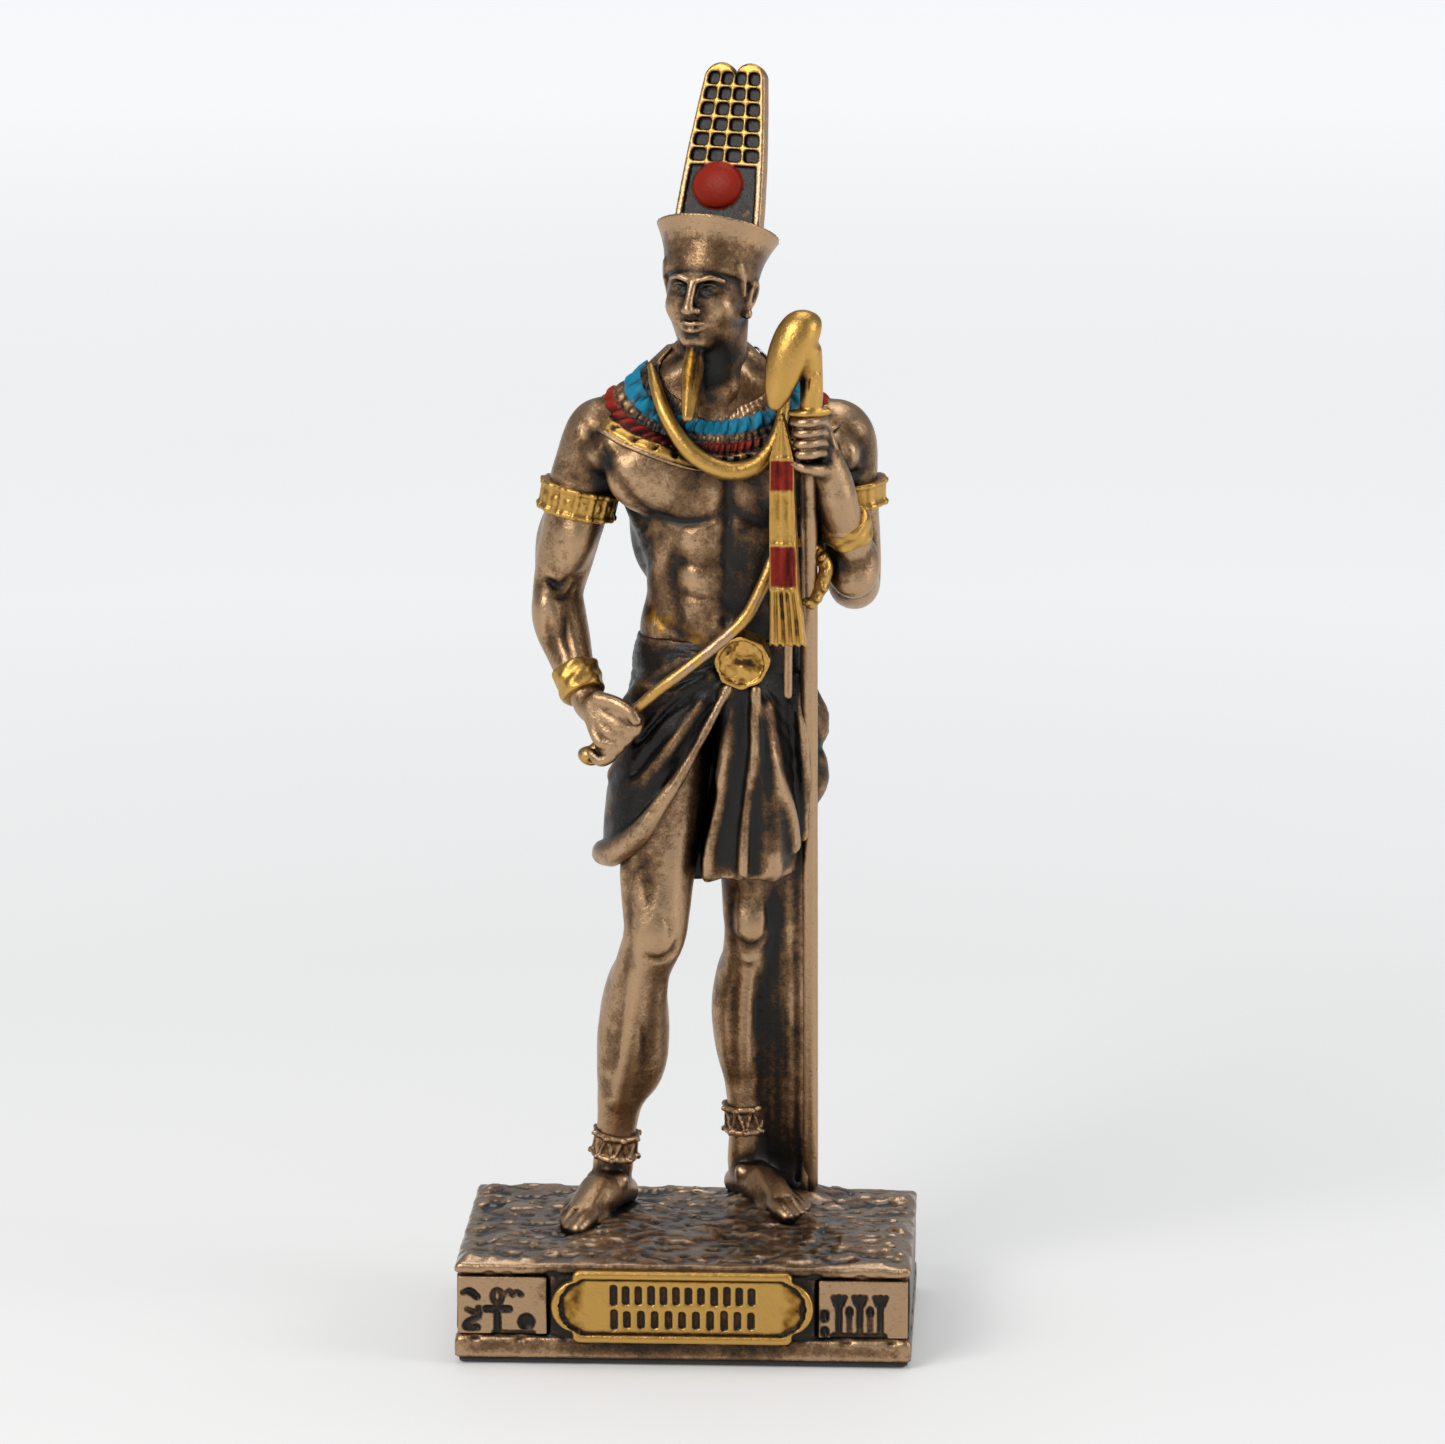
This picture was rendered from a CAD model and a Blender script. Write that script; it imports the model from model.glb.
"""The looks of the Amun-Ra statuette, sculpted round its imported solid.

The figure is drawn in modules (one module is a fixed share of its height) with the origin in
the middle of the plinth's top, as in the part's source. Each piece is a block of distance
samples: forms are added and cut with soft joins, and the zero surface is then skinned. Paint,
worn edges and dark recesses are worked out from the same distances and kept on the points.
"""

import math
from itertools import product

import bpy
import numpy as np
from mathutils import Matrix, Vector


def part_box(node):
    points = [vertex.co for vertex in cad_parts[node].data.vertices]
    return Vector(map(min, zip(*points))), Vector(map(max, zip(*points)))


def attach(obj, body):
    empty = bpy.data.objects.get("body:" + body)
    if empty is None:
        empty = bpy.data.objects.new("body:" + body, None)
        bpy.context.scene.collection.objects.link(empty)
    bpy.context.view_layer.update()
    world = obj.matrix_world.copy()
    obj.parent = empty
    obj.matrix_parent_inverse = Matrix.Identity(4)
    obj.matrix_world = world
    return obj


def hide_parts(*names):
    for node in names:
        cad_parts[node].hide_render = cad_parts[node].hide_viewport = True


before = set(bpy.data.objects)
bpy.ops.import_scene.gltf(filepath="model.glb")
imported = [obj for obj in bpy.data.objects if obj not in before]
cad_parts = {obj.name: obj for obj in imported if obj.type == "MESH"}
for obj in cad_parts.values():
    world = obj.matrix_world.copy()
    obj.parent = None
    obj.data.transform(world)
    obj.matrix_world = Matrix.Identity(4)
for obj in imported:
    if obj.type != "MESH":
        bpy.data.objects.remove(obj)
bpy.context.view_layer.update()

# Driving sizes in metres, as in the part's source
FIGURE_HEIGHT = 0.0823
PLINTH_WIDTH = 0.032
PLINTH_DEPTH = 0.022
PLINTH_HEIGHT = 0.0066
PLATE_LENGTH = 0.0184
PLATE_HEIGHT = 0.0052
PLATE_THICKNESS = 0.0006
PAD_THICKNESS = 0.0005
PAD_GAP = 0.0003
MODULE = FIGURE_HEIGHT / 82.3
PLINTH_TOP = PAD_THICKNESS + PAD_GAP + PLINTH_HEIGHT
PLINTH_BACK = PLATE_THICKNESS / 2

# Proportions of the figure, in modules
HEAD_TURN = math.radians(20)
HEAD_LEAN = math.radians(6)
HEAD_CENTRE = (1.1, 2.7, 66.0)
HAT_LEAN = math.radians(24)
PLUME_LEAN = math.radians(18)
HAT_BASE = (1.2, 3.0, 67.0)
HAT_HEIGHT = 4.0
HAT_RIM_RADIUS = 4.4
PLUME_HEIGHT = 12.4
PLUME_HALF_BASE = 3.3
PLUME_HALF_TOP = 2.15
PLUME_THICKNESS = 1.1
PLUME_SHOULDER = 1.05
PLUME_ROWS = 6
PLUME_COLUMNS = 4
PLUME_RIB = 0.10
CELLS_LOW = 5.2
CELLS_HIGH = 11.8
COLLAR_CENTRE = (1.7, 3.6, 60.6)
COLLAR_REACH = (10.1, 7.7, 7.05)
STAFF_FOOT = (8.24, 8.7, 0.0)
STAFF_TOP = (8.35, -2.4, 60.5)
STAFF_RADIUS = 0.62

# What a sample far from every form holds, and how far round a form its samples are worked out
FAR = 3.0
REACH = 1.6
CUT_REACH = 0.6

# How wear is read: reach and weight of each look for ridges, and distances of the looks for open air
RIDGE_LOOKS = ((0.28, 0.4), (0.8, 0.45), (1.5, 0.35))
AIR_LOOKS = (0.4, 0.9)
EDGE_ROOM = 1.6

CORNERS = tuple(product((0, 1), repeat=3))


# Fields and shapes

def soft_min(a, b, soft):
    """The lower of two values, rounded off where they come within soft of each other."""
    if soft <= 0:
        return np.minimum(a, b)
    near = np.maximum(soft - np.abs(a - b), 0) / soft
    return np.minimum(a, b) - near * near * soft * 0.25


def soft_max(a, b, soft):
    return -soft_min(-a, -b, soft)


def value_noise(x, y, z, size, seed):
    """Smooth noise from 0 to 1 on a lattice of this size, the same on every run."""
    cells, shares = [], []
    for value in (x, y, z):
        scaled = np.asarray(value, np.float64) / size + 1000.0
        whole = np.floor(scaled)
        share = scaled - whole
        cells.append(whole.astype(np.int64))
        shares.append(share * share * (3 - 2 * share))
    total = 0.0
    for dx, dy, dz in CORNERS:
        mixed = (cells[0] + dx) * 73856093 ^ (cells[1] + dy) * 19349663 ^ (cells[2] + dz) * 83492791
        mixed = (mixed + seed * 7919) & 0x7FFFFFFF
        mixed = (mixed ^ (mixed >> 13)) * 1274126177 & 0x7FFFFFFF
        mixed = (mixed ^ (mixed >> 16)) & 0xFFFF
        weight = 1.0
        for share, step in zip(shares, (dx, dy, dz)):
            weight = weight * (share if step else 1 - share)
        total = total + weight * (mixed / 65535.0)
    return total


def layered_noise(x, y, z, size, seed, layers=3):
    """Noise with finer and weaker layers on it, from 0 to 1."""
    total, strength, whole = 0.0, 1.0, 0.0
    for layer in range(layers):
        total = total + strength * value_noise(x, y, z, size / 2 ** layer, seed + layer)
        whole += strength
        strength *= 0.55
    return total / whole


def smooth_step(low, high, value):
    share = np.clip((value - low) / (high - low), 0, 1)
    return share * share * (3 - 2 * share)


def all_over(points, outward):
    """Paint that covers a whole piece."""
    return np.ones(len(points))


def plateau(a, b, c, d, value):
    """Rises from 0 to 1 between a and b, and falls back to 0 between c and d."""
    return smooth_step(a, b, value) * (1 - smooth_step(c, d, value))


def round_corner(a, b, edge):
    """Distance to the space inside two walls, with a round edge where they meet."""
    a, b = a + edge, b + edge
    outside = np.sqrt(np.maximum(a, 0) ** 2 + np.maximum(b, 0) ** 2)
    return outside + np.minimum(np.maximum(a, b), 0) - edge


def mottle(points, size, seed, layers=3):
    return layered_noise(*points.T, size, seed, layers)


def leaning_frame(origin, turn, lean):
    """Origin and axes of a frame turned to the viewer's left and leaning back: side, up and front."""
    facing = np.array((-math.sin(turn), -math.cos(turn), 0))
    side = np.array((math.cos(turn), -math.sin(turn), 0))
    up = np.array((0, 0, math.cos(lean))) - facing * math.sin(lean)
    return np.array(origin, float), np.array((side, up, np.cross(side, up)))


def into_frame(holder, x, y, z):
    origin, axes = holder
    dx, dy, dz = x - origin[0], y - origin[1], z - origin[2]
    return [axis[0] * dx + axis[1] * dy + axis[2] * dz for axis in axes]


def framed(shape, holder):
    """A shape drawn in a frame, put into the figure."""
    (low, high), distance = shape
    origin, axes = holder
    corners = [origin + np.array(corner) @ axes for corner in product(*zip(low, high))]
    box = (np.min(corners, 0), np.max(corners, 0))
    return box, lambda x, y, z: distance(*into_frame(holder, x, y, z))


def ball(centre, radii, turn=0.0, lean=0.0, roll=0.0):
    """An ellipsoid. Lean is about X, roll about Y and turn about Z, in degrees, in that order."""
    spin = (Matrix.Rotation(math.radians(turn), 3, "Z") @ Matrix.Rotation(math.radians(roll), 3, "Y")
            @ Matrix.Rotation(math.radians(lean), 3, "X"))
    axes = np.array(spin.transposed())
    radii = np.array(radii, float)
    reach = np.sqrt(((axes.T * radii) ** 2).sum(1))
    centre = np.array(centre, float)

    def distance(x, y, z):
        parts = into_frame((centre, axes), x, y, z)
        near = sum((p / r) ** 2 for p, r in zip(parts, radii)) ** 0.5
        slope = sum((p / (r * r)) ** 2 for p, r in zip(parts, radii)) ** 0.5
        return near * (near - 1) / np.maximum(slope, 1e-4)

    return (centre - reach, centre + reach), distance


def smooth_rows(rows, steps):
    """The rows with others put between them on a smooth curve through them all."""
    rows = np.array(rows, float)
    if len(rows) < 3:
        return rows
    padded = np.vstack((2 * rows[0] - rows[1], rows, 2 * rows[-1] - rows[-2]))
    made = []
    for i in range(len(rows) - 1):
        p0, p1, p2, p3 = padded[i:i + 4]
        for step in range(steps):
            t = step / steps
            made.append(0.5 * (2 * p1 + (p2 - p0) * t + (2 * p0 - 5 * p1 + 4 * p2 - p3) * t * t
                               + (3 * p1 - p0 - 3 * p2 + p3) * t ** 3))
    made.append(rows[-1])
    return np.array(made)


def tube(rows, steps=6, flat=None):
    """A round tube through (x, y, z, radius) rows. Flat is a direction and a squash along it."""
    rows = smooth_rows(rows, steps)
    radius = rows[:, 3].max()
    box = (rows[:, :3].min(0) - radius, rows[:, :3].max(0) + radius)

    def distance(x, y, z):
        shape = np.broadcast_shapes(np.shape(x), np.shape(y), np.shape(z))
        best = np.full(shape, FAR, np.float32)
        grid = len(shape) == 3 and [np.size(v) for v in (x, y, z)] == list(shape)
        for start, end in zip(rows, rows[1:]):
            picks = (slice(None),) * len(shape)
            px, py, pz = x, y, z
            if grid:
                widest = max(start[3], end[3]) + REACH
                spans = []
                for axis, values in enumerate((x, y, z)):
                    line = values.ravel()
                    low = min(start[axis], end[axis]) - widest
                    high = max(start[axis], end[axis]) + widest
                    spans.append(slice(np.searchsorted(line, low), np.searchsorted(line, high)))
                picks = tuple(spans)
                px, py, pz = x[spans[0]], y[:, spans[1]], z[:, :, spans[2]]
            along = end[:3] - start[:3]
            length = max(along @ along, 1e-9)
            dx, dy, dz = px - start[0], py - start[1], pz - start[2]
            share = np.clip((dx * along[0] + dy * along[1] + dz * along[2]) / length, 0, 1)
            dx, dy, dz = dx - share * along[0], dy - share * along[1], dz - share * along[2]
            if flat is not None:
                (fx, fy, fz), squash = flat
                over = (dx * fx + dy * fy + dz * fz) * (squash - 1)
                dx, dy, dz = dx + over * fx, dy + over * fy, dz + over * fz
            near = np.sqrt(dx * dx + dy * dy + dz * dz) - (start[3] + share * (end[3] - start[3]))
            best[picks] = np.minimum(best[picks], near)
        return best

    return box, distance


def stack(rows, power=2.0):
    """A body through level oval sections (x, y, z, half width, half depth)."""
    rows = smooth_rows(rows, 8)
    levels = rows[:, 2]
    low = np.array(((rows[:, 0] - rows[:, 3]).min(), (rows[:, 1] - rows[:, 4]).min(), levels[0]))
    high = np.array(((rows[:, 0] + rows[:, 3]).max(), (rows[:, 1] + rows[:, 4]).max(), levels[-1]))

    def distance(x, y, z):
        wide, deep = np.interp(z, levels, rows[:, 3]), np.interp(z, levels, rows[:, 4])
        dx = (x - np.interp(z, levels, rows[:, 0])) / wide
        dy = (y - np.interp(z, levels, rows[:, 1])) / deep
        near = (np.abs(dx) ** power + np.abs(dy) ** power) ** (1 / power)
        slope = np.sqrt((dx / wide) ** 2 + (dy / deep) ** 2)
        body = near * (near - 1) / np.maximum(slope, 1e-4)
        return np.maximum(np.maximum(body, levels[0] - z), z - levels[-1])

    return (low, high), distance


def brick(centre, half, edge=0.1):
    """A block with rounded edges."""
    centre, half = np.array(centre, float), np.array(half, float)

    def distance(x, y, z):
        gaps = [np.abs(v - c) - h + edge for v, c, h in zip((x, y, z), centre, half)]
        outside = np.sqrt(sum(np.maximum(g, 0) ** 2 for g in gaps))
        inside = np.minimum(np.maximum(np.maximum(gaps[0], gaps[1]), gaps[2]), 0)
        return outside + inside - edge

    return (centre - half, centre + half), distance


def band(start, end, radii, pattern, edge=0.15):
    """A ring round a limb between two points. The pattern adds height from (along, angle)."""
    start, end = np.array(start, float), np.array(end, float)
    length = np.linalg.norm(end - start)
    along = (end - start) / length
    front = np.array((0.0, -1.0, 0.0))
    front = front - along * (front @ along)
    front /= np.linalg.norm(front)
    side = np.cross(front, along)
    radius = max(radii) + 0.5

    def distance(x, y, z):
        dx, dy, dz = x - start[0], y - start[1], z - start[2]
        t = dx * along[0] + dy * along[1] + dz * along[2]
        u = dx * side[0] + dy * side[1] + dz * side[2]
        v = dx * front[0] + dy * front[1] + dz * front[2]
        out = np.sqrt(u * u + v * v) - (radii[0] + (radii[1] - radii[0]) * t / length)
        out = out - pattern(t / length, np.arctan2(u, v))
        return round_corner(out, np.abs(t - length / 2) - length / 2, edge)

    box = (np.minimum(start, end) - radius, np.maximum(start, end) + radius)
    return box, distance


class Clay:
    """A block of distance samples that forms are added to and cut from."""

    def __init__(self, low, high, pitch):
        self.pitch = pitch
        self.low = np.array(low, float)
        self.axes = [np.arange(a, b, pitch, dtype=np.float32) for a, b in zip(low, high)]
        self.field = np.full([len(axis) for axis in self.axes], FAR, np.float32)

    def grid(self):
        """The x, y and z of all samples, each along its own axis."""
        return np.ix_(*self.axes)

    def window(self, box, margin):
        picks = tuple(slice(np.searchsorted(axis, a - margin), np.searchsorted(axis, b + margin))
                      for axis, a, b in zip(self.axes, box[0], box[1]))
        return picks, np.ix_(*(axis[pick] for axis, pick in zip(self.axes, picks)))

    def add(self, shape, soft=0.0):
        box, distance = shape
        picks, spot = self.window(box, max(soft, REACH))
        if min(s.stop - s.start for s in picks) > 0:
            self.field[picks] = soft_min(self.field[picks], distance(*spot), soft)

    def cut(self, shape, soft=0.0):
        box, distance = shape
        picks, spot = self.window(box, max(soft, CUT_REACH))
        if min(s.stop - s.start for s in picks) > 0:
            self.field[picks] = soft_max(self.field[picks], -distance(*spot), soft)

    def sample(self, points):
        return sample_field(self.field, self.low, self.pitch, points)


def sample_field(field, low, pitch, points):
    """The field between its samples, at these points."""
    spot = (points - low) / pitch
    top = np.array(field.shape) - 2
    cell = np.clip(np.floor(spot).astype(np.int64), 0, top)
    share = np.clip(spot - cell, 0, 1).astype(np.float32)
    total = np.zeros(len(points), np.float32)
    for corner in CORNERS:
        weight = 1.0
        for part, step in zip(share.T, corner):
            weight = weight * (part if step else 1 - part)
        total += weight * field[tuple((cell + corner).T)]
    return total


def slopes(clay, points):
    """Unit outward directions of the field at these points."""
    step = clay.pitch * 0.75
    made = np.empty_like(points)
    for axis in range(3):
        move = np.zeros(3)
        move[axis] = step
        made[:, axis] = clay.sample(points + move) - clay.sample(points - move)
    return made / np.maximum(np.linalg.norm(made, axis=1, keepdims=True), 1e-6)


def skin(clay):
    """Points and four-sided faces of the zero surface, one point in each cell it crosses."""
    field = clay.field.copy()
    for axis in range(3):
        edge = [slice(None)] * 3
        for side in (0, -1):
            edge[axis] = side
            field[tuple(edge)] = np.maximum(field[tuple(edge)], 0.01)
    inside = field < 0
    cells = np.array(field.shape) - 1
    strides = np.array((cells[1] * cells[2], cells[2], 1))
    crossings = []
    for axis in range(3):
        first, second = [slice(None)] * 3, [slice(None)] * 3
        first[axis], second[axis] = slice(None, -1), slice(1, None)
        found = np.argwhere(inside[tuple(first)] != inside[tuple(second)])
        start = field[tuple(first)][tuple(found.T)]
        end = field[tuple(second)][tuple(found.T)]
        share = start / (start - end)
        crossings.append((axis, found, share, start < 0))
    sums = [np.zeros(cells.prod(), np.float32) for _ in range(3)]
    counts = np.zeros(cells.prod(), np.float32)
    quads = []
    for axis, found, share, outward in crossings:
        one, two = (axis + 1) % 3, (axis + 2) % 3
        spot = found.astype(np.float32)
        spot[:, axis] += share
        corners = []
        for a, b in ((0, 0), (-1, 0), (-1, -1), (0, -1)):
            cell = found.copy()
            cell[:, one] += a
            cell[:, two] += b
            flat = cell @ strides
            corners.append(flat)
            for value in range(3):
                np.add.at(sums[value], flat, spot[:, value])
            np.add.at(counts, flat, 1)
        corners = np.stack(corners, 1)
        corners[~outward] = corners[~outward][:, ::-1]
        quads.append(corners)
    used = np.flatnonzero(counts)
    points = np.stack([total[used] / counts[used] for total in sums], 1) * clay.pitch + clay.low
    order = np.zeros(cells.prod(), np.int64)
    order[used] = np.arange(len(used))
    faces = order[np.concatenate(quads)]
    return largest_parts(points, faces)


def largest_parts(points, faces, least=400):
    """Drops crumbs: parts of the surface with fewer points than this."""
    labels = np.arange(len(points))
    ends = np.concatenate([faces[:, (i, (i + 1) % 4)] for i in range(4)])
    while True:
        low = np.minimum(labels[ends[:, 0]], labels[ends[:, 1]])
        before = labels.copy()
        np.minimum.at(labels, ends[:, 0], low)
        np.minimum.at(labels, ends[:, 1], low)
        labels = labels[labels]
        if (labels == before).all():
            break
    keep = np.bincount(labels, minlength=len(points))[labels] >= least
    order = np.cumsum(keep) - 1
    return points[keep], order[faces[keep[faces].all(1)]]


def relax(clay, points, faces, rounds=2):
    """Evens out the points along the surface, and puts them back on it."""
    ends = np.concatenate([faces[:, (i, (i + 1) % 4)] for i in range(4)])
    counts = np.bincount(ends[:, 0], minlength=len(points)) + np.bincount(ends[:, 1], minlength=len(points))
    for _ in range(rounds):
        total = np.zeros_like(points)
        for value in range(3):
            total[:, value] = (np.bincount(ends[:, 0], points[ends[:, 1], value], len(points))
                               + np.bincount(ends[:, 1], points[ends[:, 0], value], len(points)))
        points = 0.5 * points + 0.5 * total / counts[:, None]
        points = points - slopes(clay, points) * clay.sample(points)[:, None] * 0.9
    return points


def blurred(field, reach):
    """The field averaged over a cube of this many samples each way."""
    for axis in range(3):
        total = np.cumsum(field, axis=axis, dtype=np.float64)
        size = field.shape[axis]
        high = np.minimum(np.arange(size) + reach, size - 1)
        low = np.arange(size) - reach - 1
        upper = np.take(total, high, axis=axis)
        lower = np.take(total, np.maximum(low, 0), axis=axis)
        shape = [1, 1, 1]
        shape[axis] = size
        lower = lower * (low >= 0).reshape(shape)
        field = ((upper - lower) / (high - np.maximum(low, -1)).reshape(shape)).astype(np.float32)
    return field


# Materials

def node(tree, kind, **values):
    made = tree.nodes.new(kind)
    for name, value in values.items():
        setattr(made, name, value)
    return made


def ramp(tree, fac, stops):
    made = node(tree, "ShaderNodeValToRGB")
    tree.links.new(fac, made.inputs["Fac"])
    elements = made.color_ramp.elements
    while len(elements) < len(stops):
        elements.new(0.5)
    for element, (place_on, colour) in zip(elements, stops):
        element.position = place_on
        element.color = (*colour, 1)
    return made.outputs["Color"]


def noise(tree, scale, detail=4.0, roughness=0.6, distortion=0.0):
    spot = tree.nodes.get("spot") or node(tree, "ShaderNodeTexCoord", name="spot")
    made = node(tree, "ShaderNodeTexNoise")
    tree.links.new(spot.outputs["Object"], made.inputs["Vector"])
    for name, value in (("Scale", scale), ("Detail", detail), ("Roughness", roughness),
                        ("Distortion", distortion)):
        made.inputs[name].default_value = value
    return made.outputs["Fac"]


def maths(tree, operation, a, b, clamp=False):
    made = node(tree, "ShaderNodeMath", operation=operation, use_clamp=clamp)
    for socket, value in zip(made.inputs, (a, b)):
        if isinstance(value, (int, float)):
            socket.default_value = value
        else:
            tree.links.new(value, socket)
    return made.outputs["Value"]


def mix(tree, fac, a, b, kind="MIX"):
    made = node(tree, "ShaderNodeMix", data_type="RGBA", blend_type=kind)
    for socket, value in ((made.inputs[0], fac), (made.inputs[6], a), (made.inputs[7], b)):
        if isinstance(value, (int, float)):
            socket.default_value = value
        elif isinstance(value, tuple):
            socket.default_value = (*value, 1)
        else:
            tree.links.new(value, socket)
    return made.outputs[2]


def blend(tree, fac, low, high):
    """A number that goes from low to high."""
    return maths(tree, "ADD", maths(tree, "MULTIPLY", fac, high - low), low)


def new_material(name):
    made = bpy.data.materials.new(name)
    made.use_nodes = True
    tree = made.node_tree
    return made, tree, tree.nodes["Principled BSDF"]


def bump(tree, shader, height, strength, distance):
    made = node(tree, "ShaderNodeBump")
    made.inputs["Strength"].default_value = strength
    made.inputs["Distance"].default_value = distance
    tree.links.new(height, made.inputs["Height"])
    tree.links.new(made.outputs["Normal"], shader.inputs["Normal"])


def bronze_material():
    """Rubbed bronze over a dark patina, with gold, red and blue paint where the points say so."""
    made, tree, shader = new_material("Patinated bronze and paint")
    wear = node(tree, "ShaderNodeAttribute", attribute_name="wear")
    parts = node(tree, "ShaderNodeSeparateColor")
    tree.links.new(wear.outputs["Color"], parts.inputs["Color"])
    ridge, open_air, dark = (parts.outputs[i] for i in range(3))
    varnish = wear.outputs["Alpha"]
    paint = node(tree, "ShaderNodeAttribute", attribute_name="paint")
    coats = node(tree, "ShaderNodeSeparateColor")
    tree.links.new(paint.outputs["Color"], coats.inputs["Color"])
    gold, red, blue = (coats.outputs[i] for i in range(3))

    broad = noise(tree, 260.0, 5.0, 0.6, 0.6)
    fine = noise(tree, 1500.0, 4.0, 0.7)
    grain = noise(tree, 5200.0, 3.0, 0.7)
    # How much of the dark wash was rubbed off: 0 in the recesses, 1 on the high places
    rubbed = maths(tree, "MULTIPLY", open_air, blend(tree, ridge, 0.05, 1.6))
    rubbed = maths(tree, "ADD", rubbed, blend(tree, broad, -0.5, 0.5))
    rubbed = maths(tree, "ADD", rubbed, blend(tree, fine, -0.42, 0.42))
    rubbed = maths(tree, "ADD", rubbed, blend(tree, grain, -0.26, 0.26))
    rubbed = maths(tree, "SUBTRACT", rubbed, dark, True)
    bronze = ramp(tree, rubbed, (
        (0.0, (0.006, 0.005, 0.004)), (0.22, (0.018, 0.011, 0.006)), (0.45, (0.090, 0.047, 0.021)),
        (0.74, (0.215, 0.124, 0.062)), (1.0, (0.450, 0.292, 0.168)),
    ))
    specks = ramp(tree, grain, ((0.0, (0, 0, 0)), (0.30, (0.35, 0.35, 0.35)), (0.42, (1, 1, 1))))
    bronze = mix(tree, 0.5, bronze, specks, "MULTIPLY")

    wash = maths(tree, "ADD", maths(tree, "MULTIPLY", open_air, blend(tree, ridge, 0.1, 1.5)),
                 blend(tree, fine, -0.45, 0.45))
    wash = maths(tree, "SUBTRACT", wash, maths(tree, "MULTIPLY", dark, 1.3), True)
    gold_colour = ramp(tree, wash, (
        (0.0, (0.010, 0.006, 0.003)), (0.25, (0.075, 0.032, 0.008)), (0.5, (0.270, 0.130, 0.019)),
        (1.0, (0.550, 0.320, 0.085)),
    ))
    red_colour = ramp(tree, wash, ((0.0, (0.012, 0.003, 0.003)), (0.3, (0.085, 0.006, 0.004)),
                                   (1.0, (0.270, 0.020, 0.010))))
    blue_colour = ramp(tree, wash, ((0.0, (0.004, 0.012, 0.018)), (0.3, (0.004, 0.060, 0.100)),
                                    (1.0, (0.010, 0.205, 0.335))))
    colour = mix(tree, gold, bronze, gold_colour)
    colour = mix(tree, red, colour, red_colour)
    colour = mix(tree, blue, colour, blue_colour)
    tree.links.new(colour, shader.inputs["Base Color"])

    enamel = maths(tree, "ADD", red, blue, True)
    bare = maths(tree, "SUBTRACT", 1.0, enamel, True)
    metal = maths(tree, "MULTIPLY", blend(tree, rubbed, 0.30, 1.0), bare)
    tree.links.new(metal, shader.inputs["Metallic"])
    rough = blend(tree, fine, 0.20, 0.44)
    rough = maths(tree, "MULTIPLY", rough, blend(tree, enamel, 1.0, 0.75))
    tree.links.new(varnish, shader.inputs["Coat Weight"])
    shader.inputs["Coat Roughness"].default_value = 0.2
    tree.links.new(rough, shader.inputs["Roughness"])
    tree.links.new(blend(tree, enamel, 0.40, 0.1), shader.inputs["Specular IOR Level"])
    height = maths(tree, "ADD", fine, maths(tree, "MULTIPLY", grain, 0.6))
    bump(tree, shader, height, 0.55, 0.00009)
    return made


def felt_material():
    made, tree, shader = new_material("Black felt pad")
    fluff = noise(tree, 4200.0, 5.0, 0.8)
    lint = noise(tree, 900.0, 2.0, 0.5)
    colour = mix(tree, lint, (0.006, 0.006, 0.007), (0.022, 0.021, 0.021))
    tree.links.new(mix(tree, maths(tree, "MULTIPLY", fluff, 0.4), colour, (0.05, 0.05, 0.052)),
                   shader.inputs["Base Color"])
    shader.inputs["Roughness"].default_value = 0.95
    shader.inputs["Sheen Weight"].default_value = 0.3
    bump(tree, shader, fluff, 0.7, 0.00012)
    return made


BRONZE = bronze_material()
FELT = felt_material()
COATS = ("gold", "red", "blue")


def to_metres(points):
    return points * MODULE + np.array((0, PLINTH_BACK, PLINTH_TOP))


def mesh_object(name, points, faces, material):
    mesh = bpy.data.meshes.new(name)
    mesh.vertices.add(len(points))
    mesh.vertices.foreach_set("co", points.astype(np.float32).ravel())
    mesh.loops.add(faces.size)
    mesh.loops.foreach_set("vertex_index", faces.astype(np.int32).ravel())
    mesh.polygons.add(len(faces))
    mesh.polygons.foreach_set("loop_start", np.arange(0, faces.size, 4, dtype=np.int32))
    mesh.polygons.foreach_set("use_smooth", np.ones(len(faces), bool))
    mesh.update(calc_edges=True)
    mesh.materials.append(material)
    made = bpy.data.objects.new(name, mesh)
    bpy.context.scene.collection.objects.link(made)
    return made


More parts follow.
